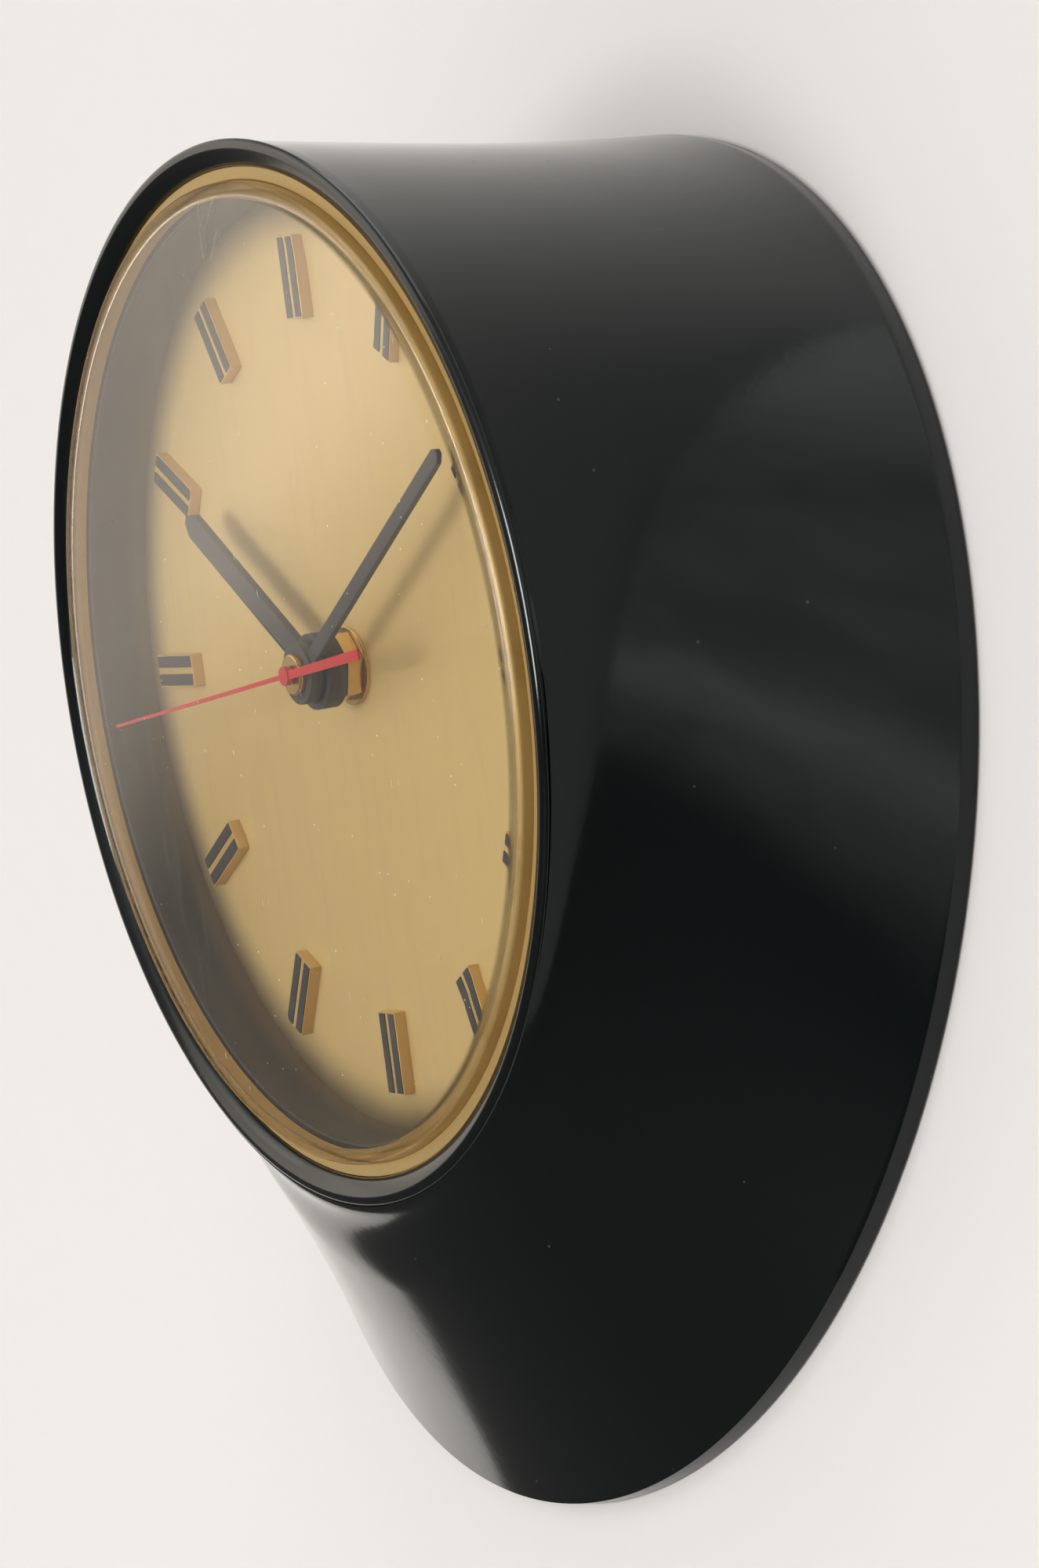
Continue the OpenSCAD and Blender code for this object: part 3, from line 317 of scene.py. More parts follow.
def makeCrystal():
    material, pad = newMaterial("clearCrystal")
    at = place(pad)
    fineHairs = hairScratches(pad, at, 260.0, (0.4, 0.2, 0.5), 0.05, 0.80)
    longHairs = hairScratches(pad, at, 200.0, (1.1, 0.9, 2.2), 0.045, 0.84)
    dust = specks(pad, at, 330.0, 0.06, 0.16)
    haze = noise(pad, at, 22.0, 3.0, 0.6, 0.8)
    rim = fromAxis(pad, at).step(*clearCrystal["rim"])
    depth = along(pad, at, inwards)
    outside = depth < clearCrystal["front"]
    strokes = sum((stroke(pad, at, *ends) for ends in clearCrystal["marks"]), 0.0) * outside
    marks = (fineHairs + longHairs + dust + strokes).clamped()
    rough = haze * 0.02 + marks * 0.35 + rim * clearCrystal["rimMatt"]
    skin = bump(pad, noise(pad, at, 30.0, 2.0), 0.02, 0.001)
    glass = pad.node("BsdfPrincipled", {}, {"Base Color": clearCrystal["tint"], "Roughness": rough,
                                            "IOR": 1.49, "Transmission Weight": 1.0, "Normal": skin})
    # the rounded edge lets more through, and its side carries a painted reflection of the ring's gold
    clear = pad.node("BsdfTransparent")
    edge = pad.node("MixShader", {}, {0: rim * clearCrystal["rimOpen"], 1: glass, 2: clear})
    gold = pad.node("BsdfPrincipled", {}, {"Base Color": clearCrystal["gold"],
                                           "Roughness": clearCrystal["reflectedGoldShine"],
                                           "Metallic": clearCrystal["reflectedGoldMetallic"]})
    # painted reflection: the crystal's side shows the gold ring as a gold surface
    skirt = rim * depth.step(*clearCrystal["skirt"])
    window = pad.node("MixShader", {}, {0: skirt * clearCrystal["reflectedGoldShare"], 1: edge, 2: gold})
    # a film of smears that run down the front
    smear = noise(pad, stretched(pad, at, (300.0, 40.0, 34.0)), 1.0, 3.0, 0.6, 0.4).step(0.48, 0.8)
    film = pad.node("BsdfDiffuse", {}, {"Color": clearCrystal["film"]})
    share = (smear * clearCrystal["smears"] + marks * clearCrystal["dull"]) * outside
    return finishMaterial(material, pad, pad.node("MixShader", {}, {0: share, 1: window, 2: film}))


brassBright, brassDull = rgb(0.83, 0.60, 0.26), rgb(0.60, 0.40, 0.16)
steelBright, steelDull = rgb(0.66, 0.66, 0.66), rgb(0.42, 0.41, 0.40)

finishes = {
    "case_black": makeBlackCase(),
    "crystal_clear": makeCrystal(),
    "dial_gold": makeSatinGold("satinGoldDial", goldDial),
    "bezel_gold": makeSatinGold("satinGoldRing", goldRing),
    "marker_gold": makeSatinGold("goldMarker", goldMarker),
    "inlay_black": makePlastic("blackInlay", rgb(0.022, 0.021, 0.021), rgb(0.045, 0.042, 0.038),
                               0.34, 1200.0, 0.3),
    "hand_black": makePlastic("blackHand", rgb(0.026, 0.026, 0.027), rgb(0.060, 0.056, 0.050),
                              0.38, 900.0, 0.35),
    "hand_red": makePlastic("redHand", rgb(0.46, 0.014, 0.016), rgb(0.38, 0.022, 0.020), 0.34, 900.0, 0.15),
    "centre_brass": makeMetal("brassCentre", brassBright, brassDull, 0.14),
    "clamp_steel": makeMetal("steelClamp", steelBright, steelDull, 0.34, brush=(900.0, 40.0, 40.0)),
    "screw_steel": makeMetal("steelScrew", rgb(0.62, 0.60, 0.55), rgb(0.38, 0.35, 0.30), 0.24),
    "liner_fibre": makePlastic("redFibre", rgb(0.20, 0.045, 0.03), rgb(0.14, 0.035, 0.025), 0.6),
    "plate_brass": makeMetal("brassPlate", rgb(0.74, 0.57, 0.28), rgb(0.55, 0.40, 0.18), 0.28,
                             brush=(60.0, 60.0, 900.0)),
    "train_brass": makeMetal("brassWheel", brassBright, brassDull, 0.20),
    "arbor_steel": makeMetal("steelArbor", rgb(0.70, 0.70, 0.71), steelDull, 0.14),
    "board_brown": makePlastic("brownBoard", rgb(0.20, 0.10, 0.035), rgb(0.15, 0.07, 0.025),
                               0.42, 1400.0, 0.2),
    "coil_copper": makeMetal("copperCoil", rgb(0.62, 0.24, 0.10), rgb(0.42, 0.15, 0.06), 0.32, 2500.0, 0.5),
    "transistor_can": makeMetal("transistorCan", steelBright, steelDull, 0.2),
    "capacitor_blue": makePlastic("blueCapacitor", rgb(0.03, 0.07, 0.28), rgb(0.02, 0.05, 0.20), 0.24),
    "housing_black": makePlastic("mouldedHousing", rgb(0.020, 0.019, 0.018), rgb(0.040, 0.037, 0.033),
                                 0.46, 650.0, 0.35),
    "cell_jacket": makePlastic("cellJacket", rgb(0.42, 0.20, 0.035), rgb(0.34, 0.16, 0.03),
                               0.26, 500.0, 0.06, 0.4),
    "contact_nickel": makeMetal("nickelContact", rgb(0.68, 0.66, 0.61), rgb(0.46, 0.43, 0.38), 0.22),
    "hanger_steel": makeMetal("zincHanger", rgb(0.58, 0.59, 0.60), rgb(0.40, 0.41, 0.42), 0.38, 400.0, 0.2),
    "knob_black": makePlastic("blackKnob", rgb(0.018, 0.018, 0.019), rgb(0.05, 0.048, 0.045),
                              0.36, 800.0, 0.25),
    "balance_steel": makeMetal("steelBalance", rgb(0.56, 0.56, 0.57), steelDull, 0.26),
    "magnet_grey": makePlastic("greyMagnet", rgb(0.055, 0.055, 0.058), rgb(0.09, 0.09, 0.09),
                               0.4, 1200.0, 0.3),
    "pin_jewel": makePlastic("redJewel", rgb(0.40, 0.02, 0.05), rgb(0.30, 0.02, 0.04), 0.1),
    "spring_blue": makeMetal("blueSpring", rgb(0.10, 0.16, 0.38), rgb(0.07, 0.10, 0.25), 0.2),
}

slotOf = {part["node"]: part["material_slot"] for part in record["subparts"]}
for name, piece in nodes.items():
    piece.data.materials.clear()
    piece.data.materials.append(finishes[slotOf[name]])
print("materials made")


def addMesh(name, points, faces, slotName, body, stands=(), crease=35):
    mesh = bpy.data.meshes.new(name)
    mesh.from_pydata([tuple(p) for p in points], [], faces)
    mesh.validate()
    build = bmesh.new()
    build.from_mesh(mesh)
    bmesh.ops.remove_doubles(build, verts=build.verts, dist=1e-7)
    bmesh.ops.recalc_face_normals(build, faces=build.faces)
    build.to_mesh(mesh)
    build.free()
    for face in mesh.polygons:
        face.use_smooth = True
    mesh.set_sharp_from_angle(angle=math.radians(crease))
    piece = bpy.data.objects.new(name, mesh)
    bpy.context.collection.objects.link(piece)
    mesh.materials.append(finishes[slotName])
    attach(piece, body)
    if stands:
        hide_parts(*stands)
    return piece


def skinRings(rings, loop=False):
    # faces between rings of points; a loop joins the last ring to the first
    count = len(rings[0])
    points = [p for ring in rings for p in ring]
    faces = []
    for i in range(len(rings) if loop else len(rings) - 1):
        low, high = i * count, ((i + 1) % len(rings)) * count
        for k in range(count):
            n = (k + 1) % count
            faces.append((low + k, low + n, high + n, high + k))
    return points, faces


def joined(*parts):
    # several closed shells as one list of points and faces
    points, faces = [], []
    for morePoints, moreFaces in parts:
        start = len(points)
        points += morePoints
        faces += [tuple(start + v for v in face) for face in moreFaces]
    return points, faces


def latheRings(profile, steps, middle=(0.0, 0.0)):
    # profile: (radius, drop) pairs, turned about the dial's axis through middle
    return [[facePoint(middle[0] + r * math.cos(2 * math.pi * k / steps),
                       middle[1] + r * math.sin(2 * math.pi * k / steps), d) for k in range(steps)]
            for r, d in profile]


def arc(cx, cy, radius, start, end, steps):
    angles = [math.radians(start + (end - start) * i / steps) for i in range(steps + 1)]
    return [(cx + radius * math.cos(a), cy + radius * math.sin(a)) for a in angles]


def roundEdges(name, width, segments=2, angle=30):
    # small rounded edges on a piece that keeps its CAD shape
    piece = nodes[name]
    weld = piece.modifiers.new("weld", "WELD")
    weld.merge_threshold = 1e-6
    bevel = piece.modifiers.new("edges", "BEVEL")
    bevel.width = width
    bevel.segments = segments
    bevel.limit_method = "ANGLE"
    bevel.angle_limit = math.radians(angle)
    bevel.harden_normals = False


# the case runs from the rim (0) to the wall (1); drops are measured behind the rim's plane
case = {"wall": 0.003, "edge": 0.0004, "soft": 0.0002, "groove": 0.0003,
        "lipWidth": 0.0052, "lipRound": 0.0018, "lipHeight": 0.00038, "lipLow": 0.00055, "lipBend": 0.45,
        "slopeDrop": 0.0019, "ledgeDrop": 0.0041, "ledgeBack": 0.0073,
        "skirt": 0.0035, "flare": 1.76, "sink": 2.0, "turn": 2.7,  # how radius, height and lean change
        "start": 0.022, "spacing": 1.15,
        "neck": 0.0017, "neckWidth": 0.009, "neckTurn": 0.26,  # a hollow behind the lip
        "steps": 320, "outerRings": 120, "innerRings": 40, "roundSteps": 12, "slopeSteps": 20}
dialTube = {"ledge": 0.0058, "wall": 0.003, "front": 0.0044, "back": dialDrop, "edge": 0.0004,
            "flangeWidth": 0.0023, "flangeBack": 0.0088, "notch": 2.6, "notchGap": 0.00002, "wallSteps": 10}
clampBoss = {"radius": 0.0033, "bore": 0.00126, "back": dialDrop + 0.001, "boreEnd": dialDrop - 0.007,
             "boreTip": 0.0002, "sunk": 0.001, "soft": 0.0003, "turns": (0, 180, -60, -120), "steps": 40}
hangBoss = {"radius": 0.0042, "bore": 0.00126, "front": -0.009, "back": -0.0017,
            "floor": 0.0012, "tip": 0.001, "soft": 0.0002, "x": 0.028, "in": 0.015, "steps": 48,
            "rib": 0.003, "ribLow": 0.0008, "ribEnd": 0.0003, "ribTop": 0.0015, "ribSide": 0.002}
nearlyShut = 0.0001  # radius at which a blind hole or a post is closed
rearRadius = boxWidth("case_shell") / 2
mouthRadius = boxWidth("bezel_ring") / 2 + 0.00005
faceRadius = mouthRadius + case["lipWidth"]
tubeInner = mouthRadius - dialTube["ledge"]
tubeOuter = tubeInner + dialTube["wall"]
clampRing = tubeOuter + clampBoss["radius"] + 0.0001


def loftPoint(s, turn, inset, y=None):
    inner = faceRadius - case["groove"]
    radius = inner + (rearRadius - faceRadius + case["groove"]) * s ** case["flare"] - inset
    lean = tilt * (1 - s) ** case["turn"]
    z = faceMiddle.z * (1 - s ** case["sink"])
    if y is None:
        y = faceMiddle.y + (-faceMiddle.y - case["skirt"]) * s
    return Vector((radius * math.cos(turn), y - radius * math.sin(turn) * math.sin(lean),
                   z + radius * math.sin(turn) * math.cos(lean)))


def dropOf(point):
    return (point - faceMiddle).dot(inwards)


def innerStart(turn):
    # how far along the loft the inner wall meets the back of the front ledge
    low, high = 0.0, 0.6
    for i in range(40):
        mid = (low + high) / 2
        if dropOf(loftPoint(mid, turn, case["wall"])) < case["ledgeBack"]:
            low = mid
        else:
            high = mid
    return low


def neckDepth(s, turn, speed):
    # deepest a little left of the bottom, fading out towards the sides and the top
    u = (s - case["start"]) * speed / case["neckWidth"]
    if u >= 1:
        return 0.0
    return case["neck"] * math.sin(math.pi * u) ** 2 * max(0.0, -math.sin(turn + case["neckTurn"])) ** 2


def lipProfile():
    # from the outer edge over the crest and down the long slope to the mouth
    low, height, crest = case["lipLow"], case["lipHeight"], faceRadius - case["lipRound"]
    outside = [(crest + case["lipRound"] * math.cos(a), low - (height + low) * math.sin(a))
               for a in (math.pi / 2 * i / case["roundSteps"] for i in range(case["roundSteps"]))]
    slope = []
    for i in range(case["slopeSteps"], -1, -1):
        u = (i / case["slopeSteps"]) ** 2
        slope.append((mouthRadius + (case["lipWidth"] - case["lipRound"]) * u,
                      case["slopeDrop"] - (case["slopeDrop"] + height) * u ** case["lipBend"]))
    return outside + slope


def makeCaseRings():
    turns = [2 * math.pi * k / case["steps"] for k in range(case["steps"])]
    edge, wall, soft, groove = case["edge"], case["wall"], case["soft"], case["groove"]

    def faceRings(profile):
        return [[facePoint(r * math.cos(t), r * math.sin(t), drop) for t in turns] for r, drop in profile]

    def rimRing(inset, y):
        return [loftPoint(1, t, inset, y) for t in turns]

    # the rounded rear rim and the outside, from back to front
    rings = [rimRing(edge * (1 - math.sin(a)), -edge * (1 - math.cos(a)))
             for a in (math.radians(degrees) for degrees in (0, 30, 60, 90))]
    rings.append(rimRing(0, -case["skirt"] * 0.9))
    near, stride = 0.02, 0.01  # the loft's pace just behind the lip
    speeds = [(loftPoint(near + stride, t, 0) - loftPoint(near, t, 0)).length / stride for t in turns]
    for i in range(case["outerRings"] + 1):
        s = 1 - i / case["outerRings"]
        s = case["start"] + (1 - case["start"]) * s ** case["spacing"]
        rings.append([loftPoint(s, t, neckDepth(s, t, speed)) for t, speed in zip(turns, speeds)])
    # the fine groove under the lip, the lip, and the ledge that the crystal sits on
    ledgeIn = tubeOuter + soft / 2
    rings += faceRings([(faceRadius - groove * 2, case["lipLow"] * 2 + soft / 2),
                        (faceRadius - groove * 2, case["lipLow"] * 2),
                        (faceRadius - groove * 0.5, case["lipLow"] + soft)])
    rings += faceRings(lipProfile())
    rings += faceRings([(mouthRadius, case["ledgeDrop"] - soft), (mouthRadius - soft, case["ledgeDrop"]),
                        (ledgeIn + soft, case["ledgeDrop"]), (ledgeIn, case["ledgeDrop"] + soft),
                        (ledgeIn, case["ledgeBack"])])
    # the inside, back to the wall
    starts = [innerStart(t) for t in turns]
    for i in range(case["innerRings"] + 1):
        f = i / case["innerRings"]
        rings.append([loftPoint(s + (1 - s) * f, t, wall) for s, t in zip(starts, turns)])
    return rings + [rimRing(wall, -edge), rimRing(wall - edge, 0.0)]


def clampBossShell(turn):
    # a post behind the ledge with a blind hole for a clamp screw
    a = math.radians(turn)
    r, bore, back, soft = clampBoss["radius"], clampBoss["bore"], clampBoss["back"], clampBoss["soft"]
    front, end = case["ledgeBack"] - clampBoss["sunk"], clampBoss["boreEnd"]
    profile = [(r, front), (r, back - soft), (r - soft, back), (bore + soft, back), (bore, back - soft),
               (bore, end), (nearlyShut, end - clampBoss["boreTip"]), (nearlyShut, front)]
    middle = (clampRing * math.cos(a), clampRing * math.sin(a))
    return skinRings(latheRings(profile, clampBoss["steps"], middle), loop=True)


def hangBossShell(side):
    # a round post with a blind hole, and a rib up to the wall of the case
    x, z = side * hangBoss["x"], rearRadius - hangBoss["in"]
    r, bore, soft = hangBoss["radius"], hangBoss["bore"], hangBoss["soft"]
    front, back = hangBoss["front"], hangBoss["back"]
    angles = [2 * math.pi * k / hangBoss["steps"] for k in range(hangBoss["steps"])]

    def ring(radius, y):
        return [Vector((x + radius * math.cos(a), y, z + radius * math.sin(a))) for a in angles]

    rings = [ring(nearlyShut, front), ring(r - soft, front), ring(r, front + soft),
             ring(r, back - soft), ring(r - soft, back), ring(bore, back),
             ring(bore, front + hangBoss["floor"]), ring(nearlyShut, front + hangBoss["tip"])]
    half, low = hangBoss["rib"] / 2, z + bore + hangBoss["ribLow"]
    top = math.sqrt((rearRadius - hangBoss["ribTop"]) ** 2 - (abs(x) + hangBoss["ribSide"]) ** 2)
    corners = [(x - half, low), (x + half, low), (x + half, top), (x - half, top)]
    ends = (front + hangBoss["ribEnd"], back - hangBoss["ribEnd"])
    rib = skinRings([[Vector((cx, y, cz)) for cx, cz in corners] for y in ends])
    rib[1].extend([(3, 2, 1, 0), (4, 5, 6, 7)])
    return joined(skinRings(rings, loop=True), rib)


casePoints, caseFaces = joined(skinRings(makeCaseRings(), loop=True),
                               *[clampBossShell(turn) for turn in clampBoss["turns"]],
                               hangBossShell(-1), hangBossShell(1))
addMesh("caseBody", casePoints, caseFaces, "case_black", "case", ["case_shell"], 50)


def makeTubeRings():
    steps, edge = case["steps"], dialTube["edge"]
    front, back, flangeFront = dialTube["front"], dialTube["back"], case["ledgeBack"]

    def flangeRadius(k):
        # the flange is notched where a clamp post stands
        away = min(abs((360 * k / steps - turn + 180) % 360 - 180) for turn in clampBoss["turns"])
        return tubeOuter + (dialTube["notchGap"] if away < dialTube["notch"] else dialTube["flangeWidth"])

    def flangeRing(drop):
        return [facePoint(flangeRadius(k) * math.cos(2 * math.pi * k / steps),
                          flangeRadius(k) * math.sin(2 * math.pi * k / steps), drop) for k in range(steps)]

    rings = latheRings([(tubeOuter, back), (tubeOuter, dialTube["flangeBack"])], steps)
    rings += [flangeRing(dialTube["flangeBack"]), flangeRing(flangeFront)]
    wallFront, count = front + edge, dialTube["wallSteps"]
    wall = [(tubeInner, wallFront + (back - front - edge) * i / count) for i in range(count + 1)]
    rings += latheRings([(tubeOuter, flangeFront), (tubeOuter, front), (tubeInner + edge, front),
                         (tubeInner + edge * 0.3, front + edge * 0.3)] + wall, steps)
    return rings


tubePoints, tubeFaces = skinRings(makeTubeRings(), loop=True)
addMesh("innerTube", tubePoints, tubeFaces, "case_black", "case", ["dial_tube"], 40)
print("case built")


# heights are measured in front of the rim's plane; gap is the free space to the mouth
crystal = {"flangeOut": 0.0004, "flange": 0.0012, "soft": 0.0003, "thick": 0.0018, "rise": 0.0013,
           "crown": 0.0008, "round": 0.0017, "innerRound": 0.0015, "gap": 0.0026, "cap": 0.0004,
           "steps": 288, "crownSteps": 16, "roundSteps": 14, "innerSteps": 8}


def makeCrystalProfile():
    outer, thick, rise = mouthRadius - crystal["gap"], crystal["thick"], crystal["rise"]
    seat, rounding, count, soft = case["ledgeDrop"], crystal["round"], crystal["crownSteps"], crystal["soft"]
    edge = outer - rounding
    inner = outer - thick
    innerRound = crystal["innerRound"]
    innerEdge = inner - innerRound
    flangeOut, flangeFront = mouthRadius - crystal["flangeOut"], seat - crystal["flange"]
    ball = (edge ** 2 + crystal["crown"] ** 2) / (2 * crystal["crown"])

    def crown(r):
        return rise + crystal["crown"] - (ball - math.sqrt(ball ** 2 - r ** 2))

    outside = arc(edge, rise - rounding, rounding, 0, 90, crystal["roundSteps"])
    outside += [(edge * i / count, crown(edge * i / count)) for i in range(count - 1, 0, -1)]
    outside += [(crystal["cap"], crown(0.0)), (crystal["cap"], crown(0.0) - thick)]
    inside = [(innerEdge * i / count, crown(innerEdge * i / count) - thick) for i in range(1, count + 1)]
    bend = arc(innerEdge, crown(innerEdge) - thick - innerRound, innerRound, 90, 0, crystal["innerSteps"])
    return [(inner, seat), (flangeOut, seat), (flangeOut, flangeFront), (outer + soft, flangeFront),
            (outer, flangeFront - soft)] + [(x, -y) for x, y in outside + inside + bend[1:]]


def makeCrystalMesh():
    count = crystal["steps"]
    rings = latheRings(makeCrystalProfile(), count)
    points, faces = skinRings(rings, loop=True)
    # the two small rings at the middle are closed with a cap instead of a tube
    front, back = [i * count for i, ring in enumerate(rings)
                   if (ring[0] - ring[count // 2]).length < crystal["cap"] * 3]
    tube = {(front + k, front + (k + 1) % count, back + (k + 1) % count, back + k) for k in range(count)}
    faces = [face for face in faces if face not in tube]
    faces.append(tuple(front + k for k in range(count)))
    faces.append(tuple(back + k for k in reversed(range(count))))
    return points, faces


crystalPoints, crystalFaces = makeCrystalMesh()
crystalDome = addMesh("crystalDome", crystalPoints, crystalFaces, "crystal_clear", "case", ["crystal"], 40)
crystalDome.visible_shadow = False  # light reaches the dial straight through
print("crystal built")

# rounding of the pieces that keep their CAD shape
edgeWidths = {"hour_markers": 0.00018, "marker_inlays": 0.00008, "hour_hand": 0.00022, "minute_hand": 0.0002,
              "second_hand": 0.00008, "minute_cap": 0.0003, "dial_nut": 0.0003, "dial_washer": 0.00015,
              "bezel_ring": 0.0002, "movement_housing": 0.0006, "setting_knob": 0.0003,
              "battery_cell": 0.0008, "hanger_plate": 0.0003, "housing_screws": 0.0003,
              "clamp_screws": 0.0003, "dial_clamp_ring": 0.0002}
for name, width in edgeWidths.items():
    roundEdges(name, width)
print("edges rounded")


# wall and floor, and painted reflections of them for glossy rays: warm to the left, dim to the right, dark
# below
room = {"wall": rgb(0.837, 0.814, 0.805), "wallShade": rgb(0.825, 0.802, 0.792),
        "floor": rgb(0.72, 0.71, 0.70), "floorShade": rgb(0.68, 0.67, 0.66),
        "paintedReflectionLeft": rgb(1.0, 0.98, 0.95), "leftFrom": (-0.1, 0.2),
        "paintedReflectionRight": rgb(0.33, 0.33, 0.32), "rightFrom": (-0.05, 0.25), "paintedFloorReflection": rgb(0.07, 0.07, 0.07),
        "hole": 0.129, "wallRings": (0.3, 1.0), "wallOut": 2.6, "wallAt": 0.0002, "steps": 128,
        "floorDrop": 1.1}


def makeWallMaterial():
    material, pad = newMaterial("paintedWall")
    at = place(pad)
    x = pad.node("SeparateXYZ", {}, {0: at})
    ray = pad.node("LightPath")
    mirrored = ray.other(3)
    tone = noise(pad, at, 4.0, 4.0).mix(room["wall"], room["wallShade"])
    # painted reflections: glossy rays see the wall warmer to the left and dimmer to the right
    tone = (mirrored * (0 - x).step(*room["leftFrom"])).mix(tone, room["paintedReflectionLeft"])
    tone = (mirrored * x.step(*room["rightFrom"])).mix(tone, room["paintedReflectionRight"])
    paint = pad.node("BsdfPrincipled", {}, {"Base Color": tone, "Roughness": 0.85,
                                            "Normal": bump(pad, noise(pad, at, 500.0, 3.0), 0.15, 0.0003)})
    # from behind the wall is clear, so that the back of the clock can be seen
    clear = pad.node("BsdfTransparent")
    behind = pad.node("NewGeometry", out=6)
    return finishMaterial(material, pad, pad.node("MixShader", {}, {0: behind * ray, 1: paint, 2: clear}))


def makeFloorMaterial():
    material, pad = newMaterial("paleFloor")
    tone = noise(pad, place(pad), 3.0, 4.0).mix(room["floor"], room["floorShade"])
    # painted reflection: glossy rays see the floor dark
    tone = pad.node("LightPath", out=3).mix(tone, room["paintedFloorReflection"])
    paint = pad.node("BsdfPrincipled", {}, {"Base Color": tone, "Roughness": 0.7})
    return finishMaterial(material, pad, paint)


def addStage(name, points, faces, material):
    mesh = bpy.data.meshes.new(name)
    mesh.from_pydata([tuple(p) for p in points], [], faces)
    piece = bpy.data.objects.new(name, mesh)
    bpy.context.collection.objects.link(piece)
    mesh.materials.append(material)


def makeRoom():
    # the wall stops just inside the rear rim
    size, low = room["wallOut"], -room["floorDrop"]
    angles = [2 * math.pi * k / room["steps"] for k in range(room["steps"])]
    rings = [[Vector((r * math.cos(a), room["wallAt"], max(r * math.sin(a), low))) for a in angles]
             for r in (room["hole"], *room["wallRings"], size)]
    points, faces = skinRings(rings)
    addStage("wall", points, [tuple(reversed(face)) for face in faces], makeWallMaterial())
    addStage("floor", [(-size, -size, low), (size, -size, low), (size, 0.0, low), (-size, 0.0, low)],
             [(0, 1, 2, 3)], makeFloorMaterial())


makeRoom()
print("wall and floor made")

lamps = {"keyFront": {"spot": faceMiddle + Vector((0.05, -0.985, -0.15)) * 2.3, "aim": faceMiddle,
                      "size": (0.8, 0.8), "power": 26, "colour": (1.0, 0.99, 0.975)},
         "softLeft": {"spot": (-1.5, -1.8, 0.9), "aim": (0, 0, 0),
                      "size": (1.2, 1.2), "power": 1.5, "colour": (1.0, 0.985, 0.97)},
         "softTop": {"spot": (-0.3, -0.8, 1.8), "aim": (0, 0, 0),
                     "size": (1.6, 1.2), "power": 9, "colour": (1.0, 0.99, 0.975)},
         "backFill": {"spot": (0.4, 2.0, 0.9), "aim": (0, 0, 0),
                      "size": (1.4, 1.4), "power": 30, "colour": (1.0, 1.0, 1.0)}}


def addLamp(name, spot, aim, size, power, colour):
    lamp = bpy.data.lights.new(name, "AREA")
    lamp.shape = "RECTANGLE"
    lamp.size, lamp.size_y = size
    lamp.energy = power
    lamp.color = colour
    holder = bpy.data.objects.new(name, lamp)
    holder.location = spot
    holder.rotation_mode = "QUATERNION"
    holder.rotation_quaternion = (Vector(aim) - Vector(spot)).to_track_quat("-Z", "Y")
    bpy.context.collection.objects.link(holder)


for name, lamp in lamps.items():
    addLamp(name, **lamp)

# brightness of the parts of the room, and where each begins and ends as a direction's height
glow = {"horizon": 0.33, "horizonFrom": (-0.34, -0.02),
        "band": 0.22, "bandFrom": (-0.05, 0.08), "bandTo": (0.1, 0.26),
        "low": 0.07, "top": 0.45, "topFrom": (0.8, 0.97), "pale": (1.0, 0.985, 0.96),
        "leftFrom": (0.2, 0.7), "leftDim": 0.65, "leftDimTo": (0.1, 0.4),
        "window": 0.58, "bright": 0.4, "sill": (-0.172, -0.112), "windowTo": (0.25, 0.6),
        "warm": (1.0, 0.88, 0.74),
        "frontFrom": (0.35, 0.46), "frontTo": (0.8, 0.95), "frontDim": 0.7,
        "leftLow": 0.06, "leftLowFrom": (-0.6, -0.1), "shown": rgb(0.87, 0.85, 0.825)}


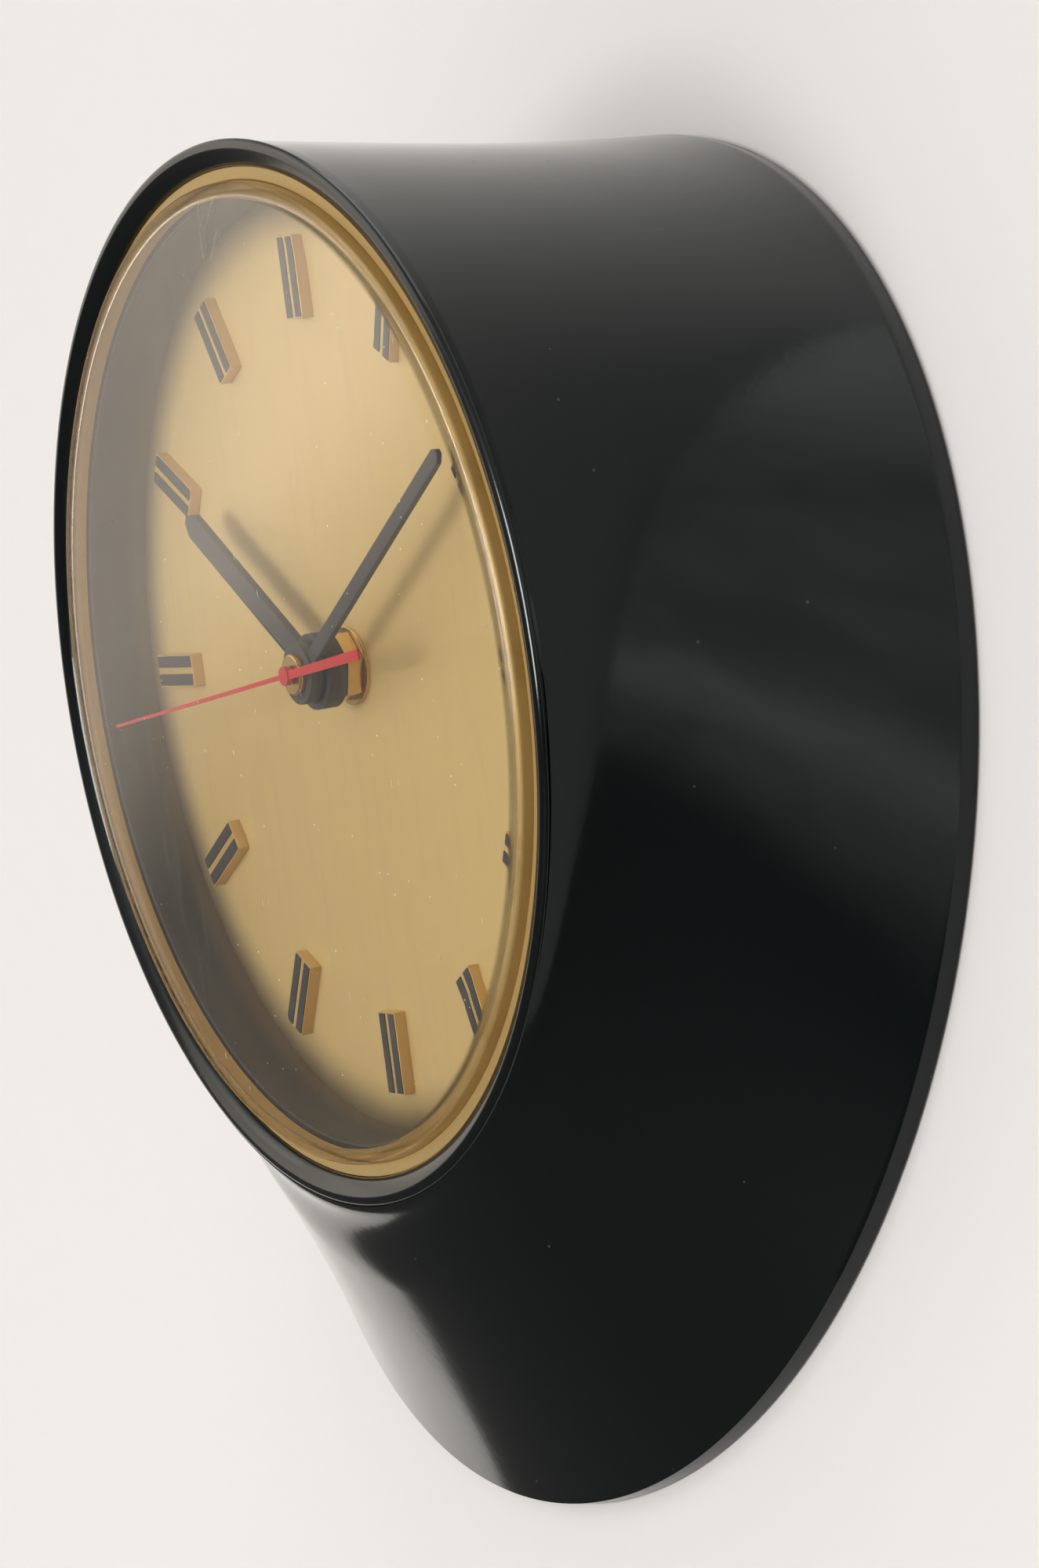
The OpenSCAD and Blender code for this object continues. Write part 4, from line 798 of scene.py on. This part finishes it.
def makeWorld():
    # a pale uneven room: a bright warm window to the left, dark below the horizon
    world = bpy.data.worlds.new("softRoom")
    bpy.context.scene.world = world
    world.use_nodes = True
    world.node_tree.nodes.clear()
    pad = Wire(world.node_tree)
    direction = pad.node("TexCoord")
    x = pad.node("SeparateXYZ", {}, {0: direction})
    y, z = x.other(1), x.other(2)
    left = (0 - x).step(*glow["leftFrom"])
    general = z.step(*glow["horizonFrom"]) * glow["horizon"]
    general = general + z.step(*glow["bandFrom"]) * (1 - z.step(*glow["bandTo"])) * glow["band"]
    general = general * (1 - left * glow["leftDim"] * (1 - z.step(*glow["leftDimTo"])))
    ragged = noise(pad, stretched(pad, direction, (3.0, 3.0, 7.0)), 1.0, 6.0, 0.6, 0.8).step(0.38, 0.62)
    level = general * (ragged * 0.45 + 0.78) + glow["low"] + z.step(*glow["topFrom"]) * glow["top"]
    window = (z - x * 0.15 + y * 0.338).step(*glow["sill"]) * left * (1 - z.step(*glow["windowTo"]))
    front = (0 - y).step(*glow["frontFrom"]) * (1 - (0 - y).step(*glow["frontTo"]) * glow["frontDim"])
    warmLevel = window * (front * glow["bright"] + glow["window"])
    warmLevel = warmLevel + z.step(*glow["leftLowFrom"]) * left * glow["leftLow"]
    cool = pad.node("VectorMath", {"operation": "SCALE"}, {0: glow["pale"], "Scale": level})
    warm = pad.node("VectorMath", {"operation": "SCALE"}, {0: glow["warm"], "Scale": warmLevel})
    colour = pad.node("VectorMath", {"operation": "ADD"}, {0: cool, 1: warm})
    shown = pad.node("LightPath").mix(colour, glow["shown"])
    back = pad.node("Background", {}, {"Color": shown, "Strength": 1.0})
    pad.node("OutputWorld", {}, {"Surface": back})


makeWorld()

view = {"spot": (0.8975, -0.5028, -0.0268), "right": (0.47596, 0.87605, 0.07745),
        "down": (0.00967, 0.08284, -0.99652), "lens": 122.9, "sensor": 36}


def makeCamera():
    camera = bpy.data.cameras.new("camera")
    camera.sensor_width = view["sensor"]
    camera.lens = view["lens"]
    holder = bpy.data.objects.new("camera", camera)
    right, up = Vector(view["right"]).normalized(), -Vector(view["down"]).normalized()
    back = right.cross(up).normalized()
    up = back.cross(right)
    turn = Matrix((right, up, back)).transposed()
    holder.matrix_world = Matrix.Translation(view["spot"]) @ turn.to_4x4()
    bpy.context.collection.objects.link(holder)
    bpy.context.scene.camera = holder


makeCamera()
bpy.context.scene.view_settings.view_transform = "Standard"
print("stage, lights and camera set")
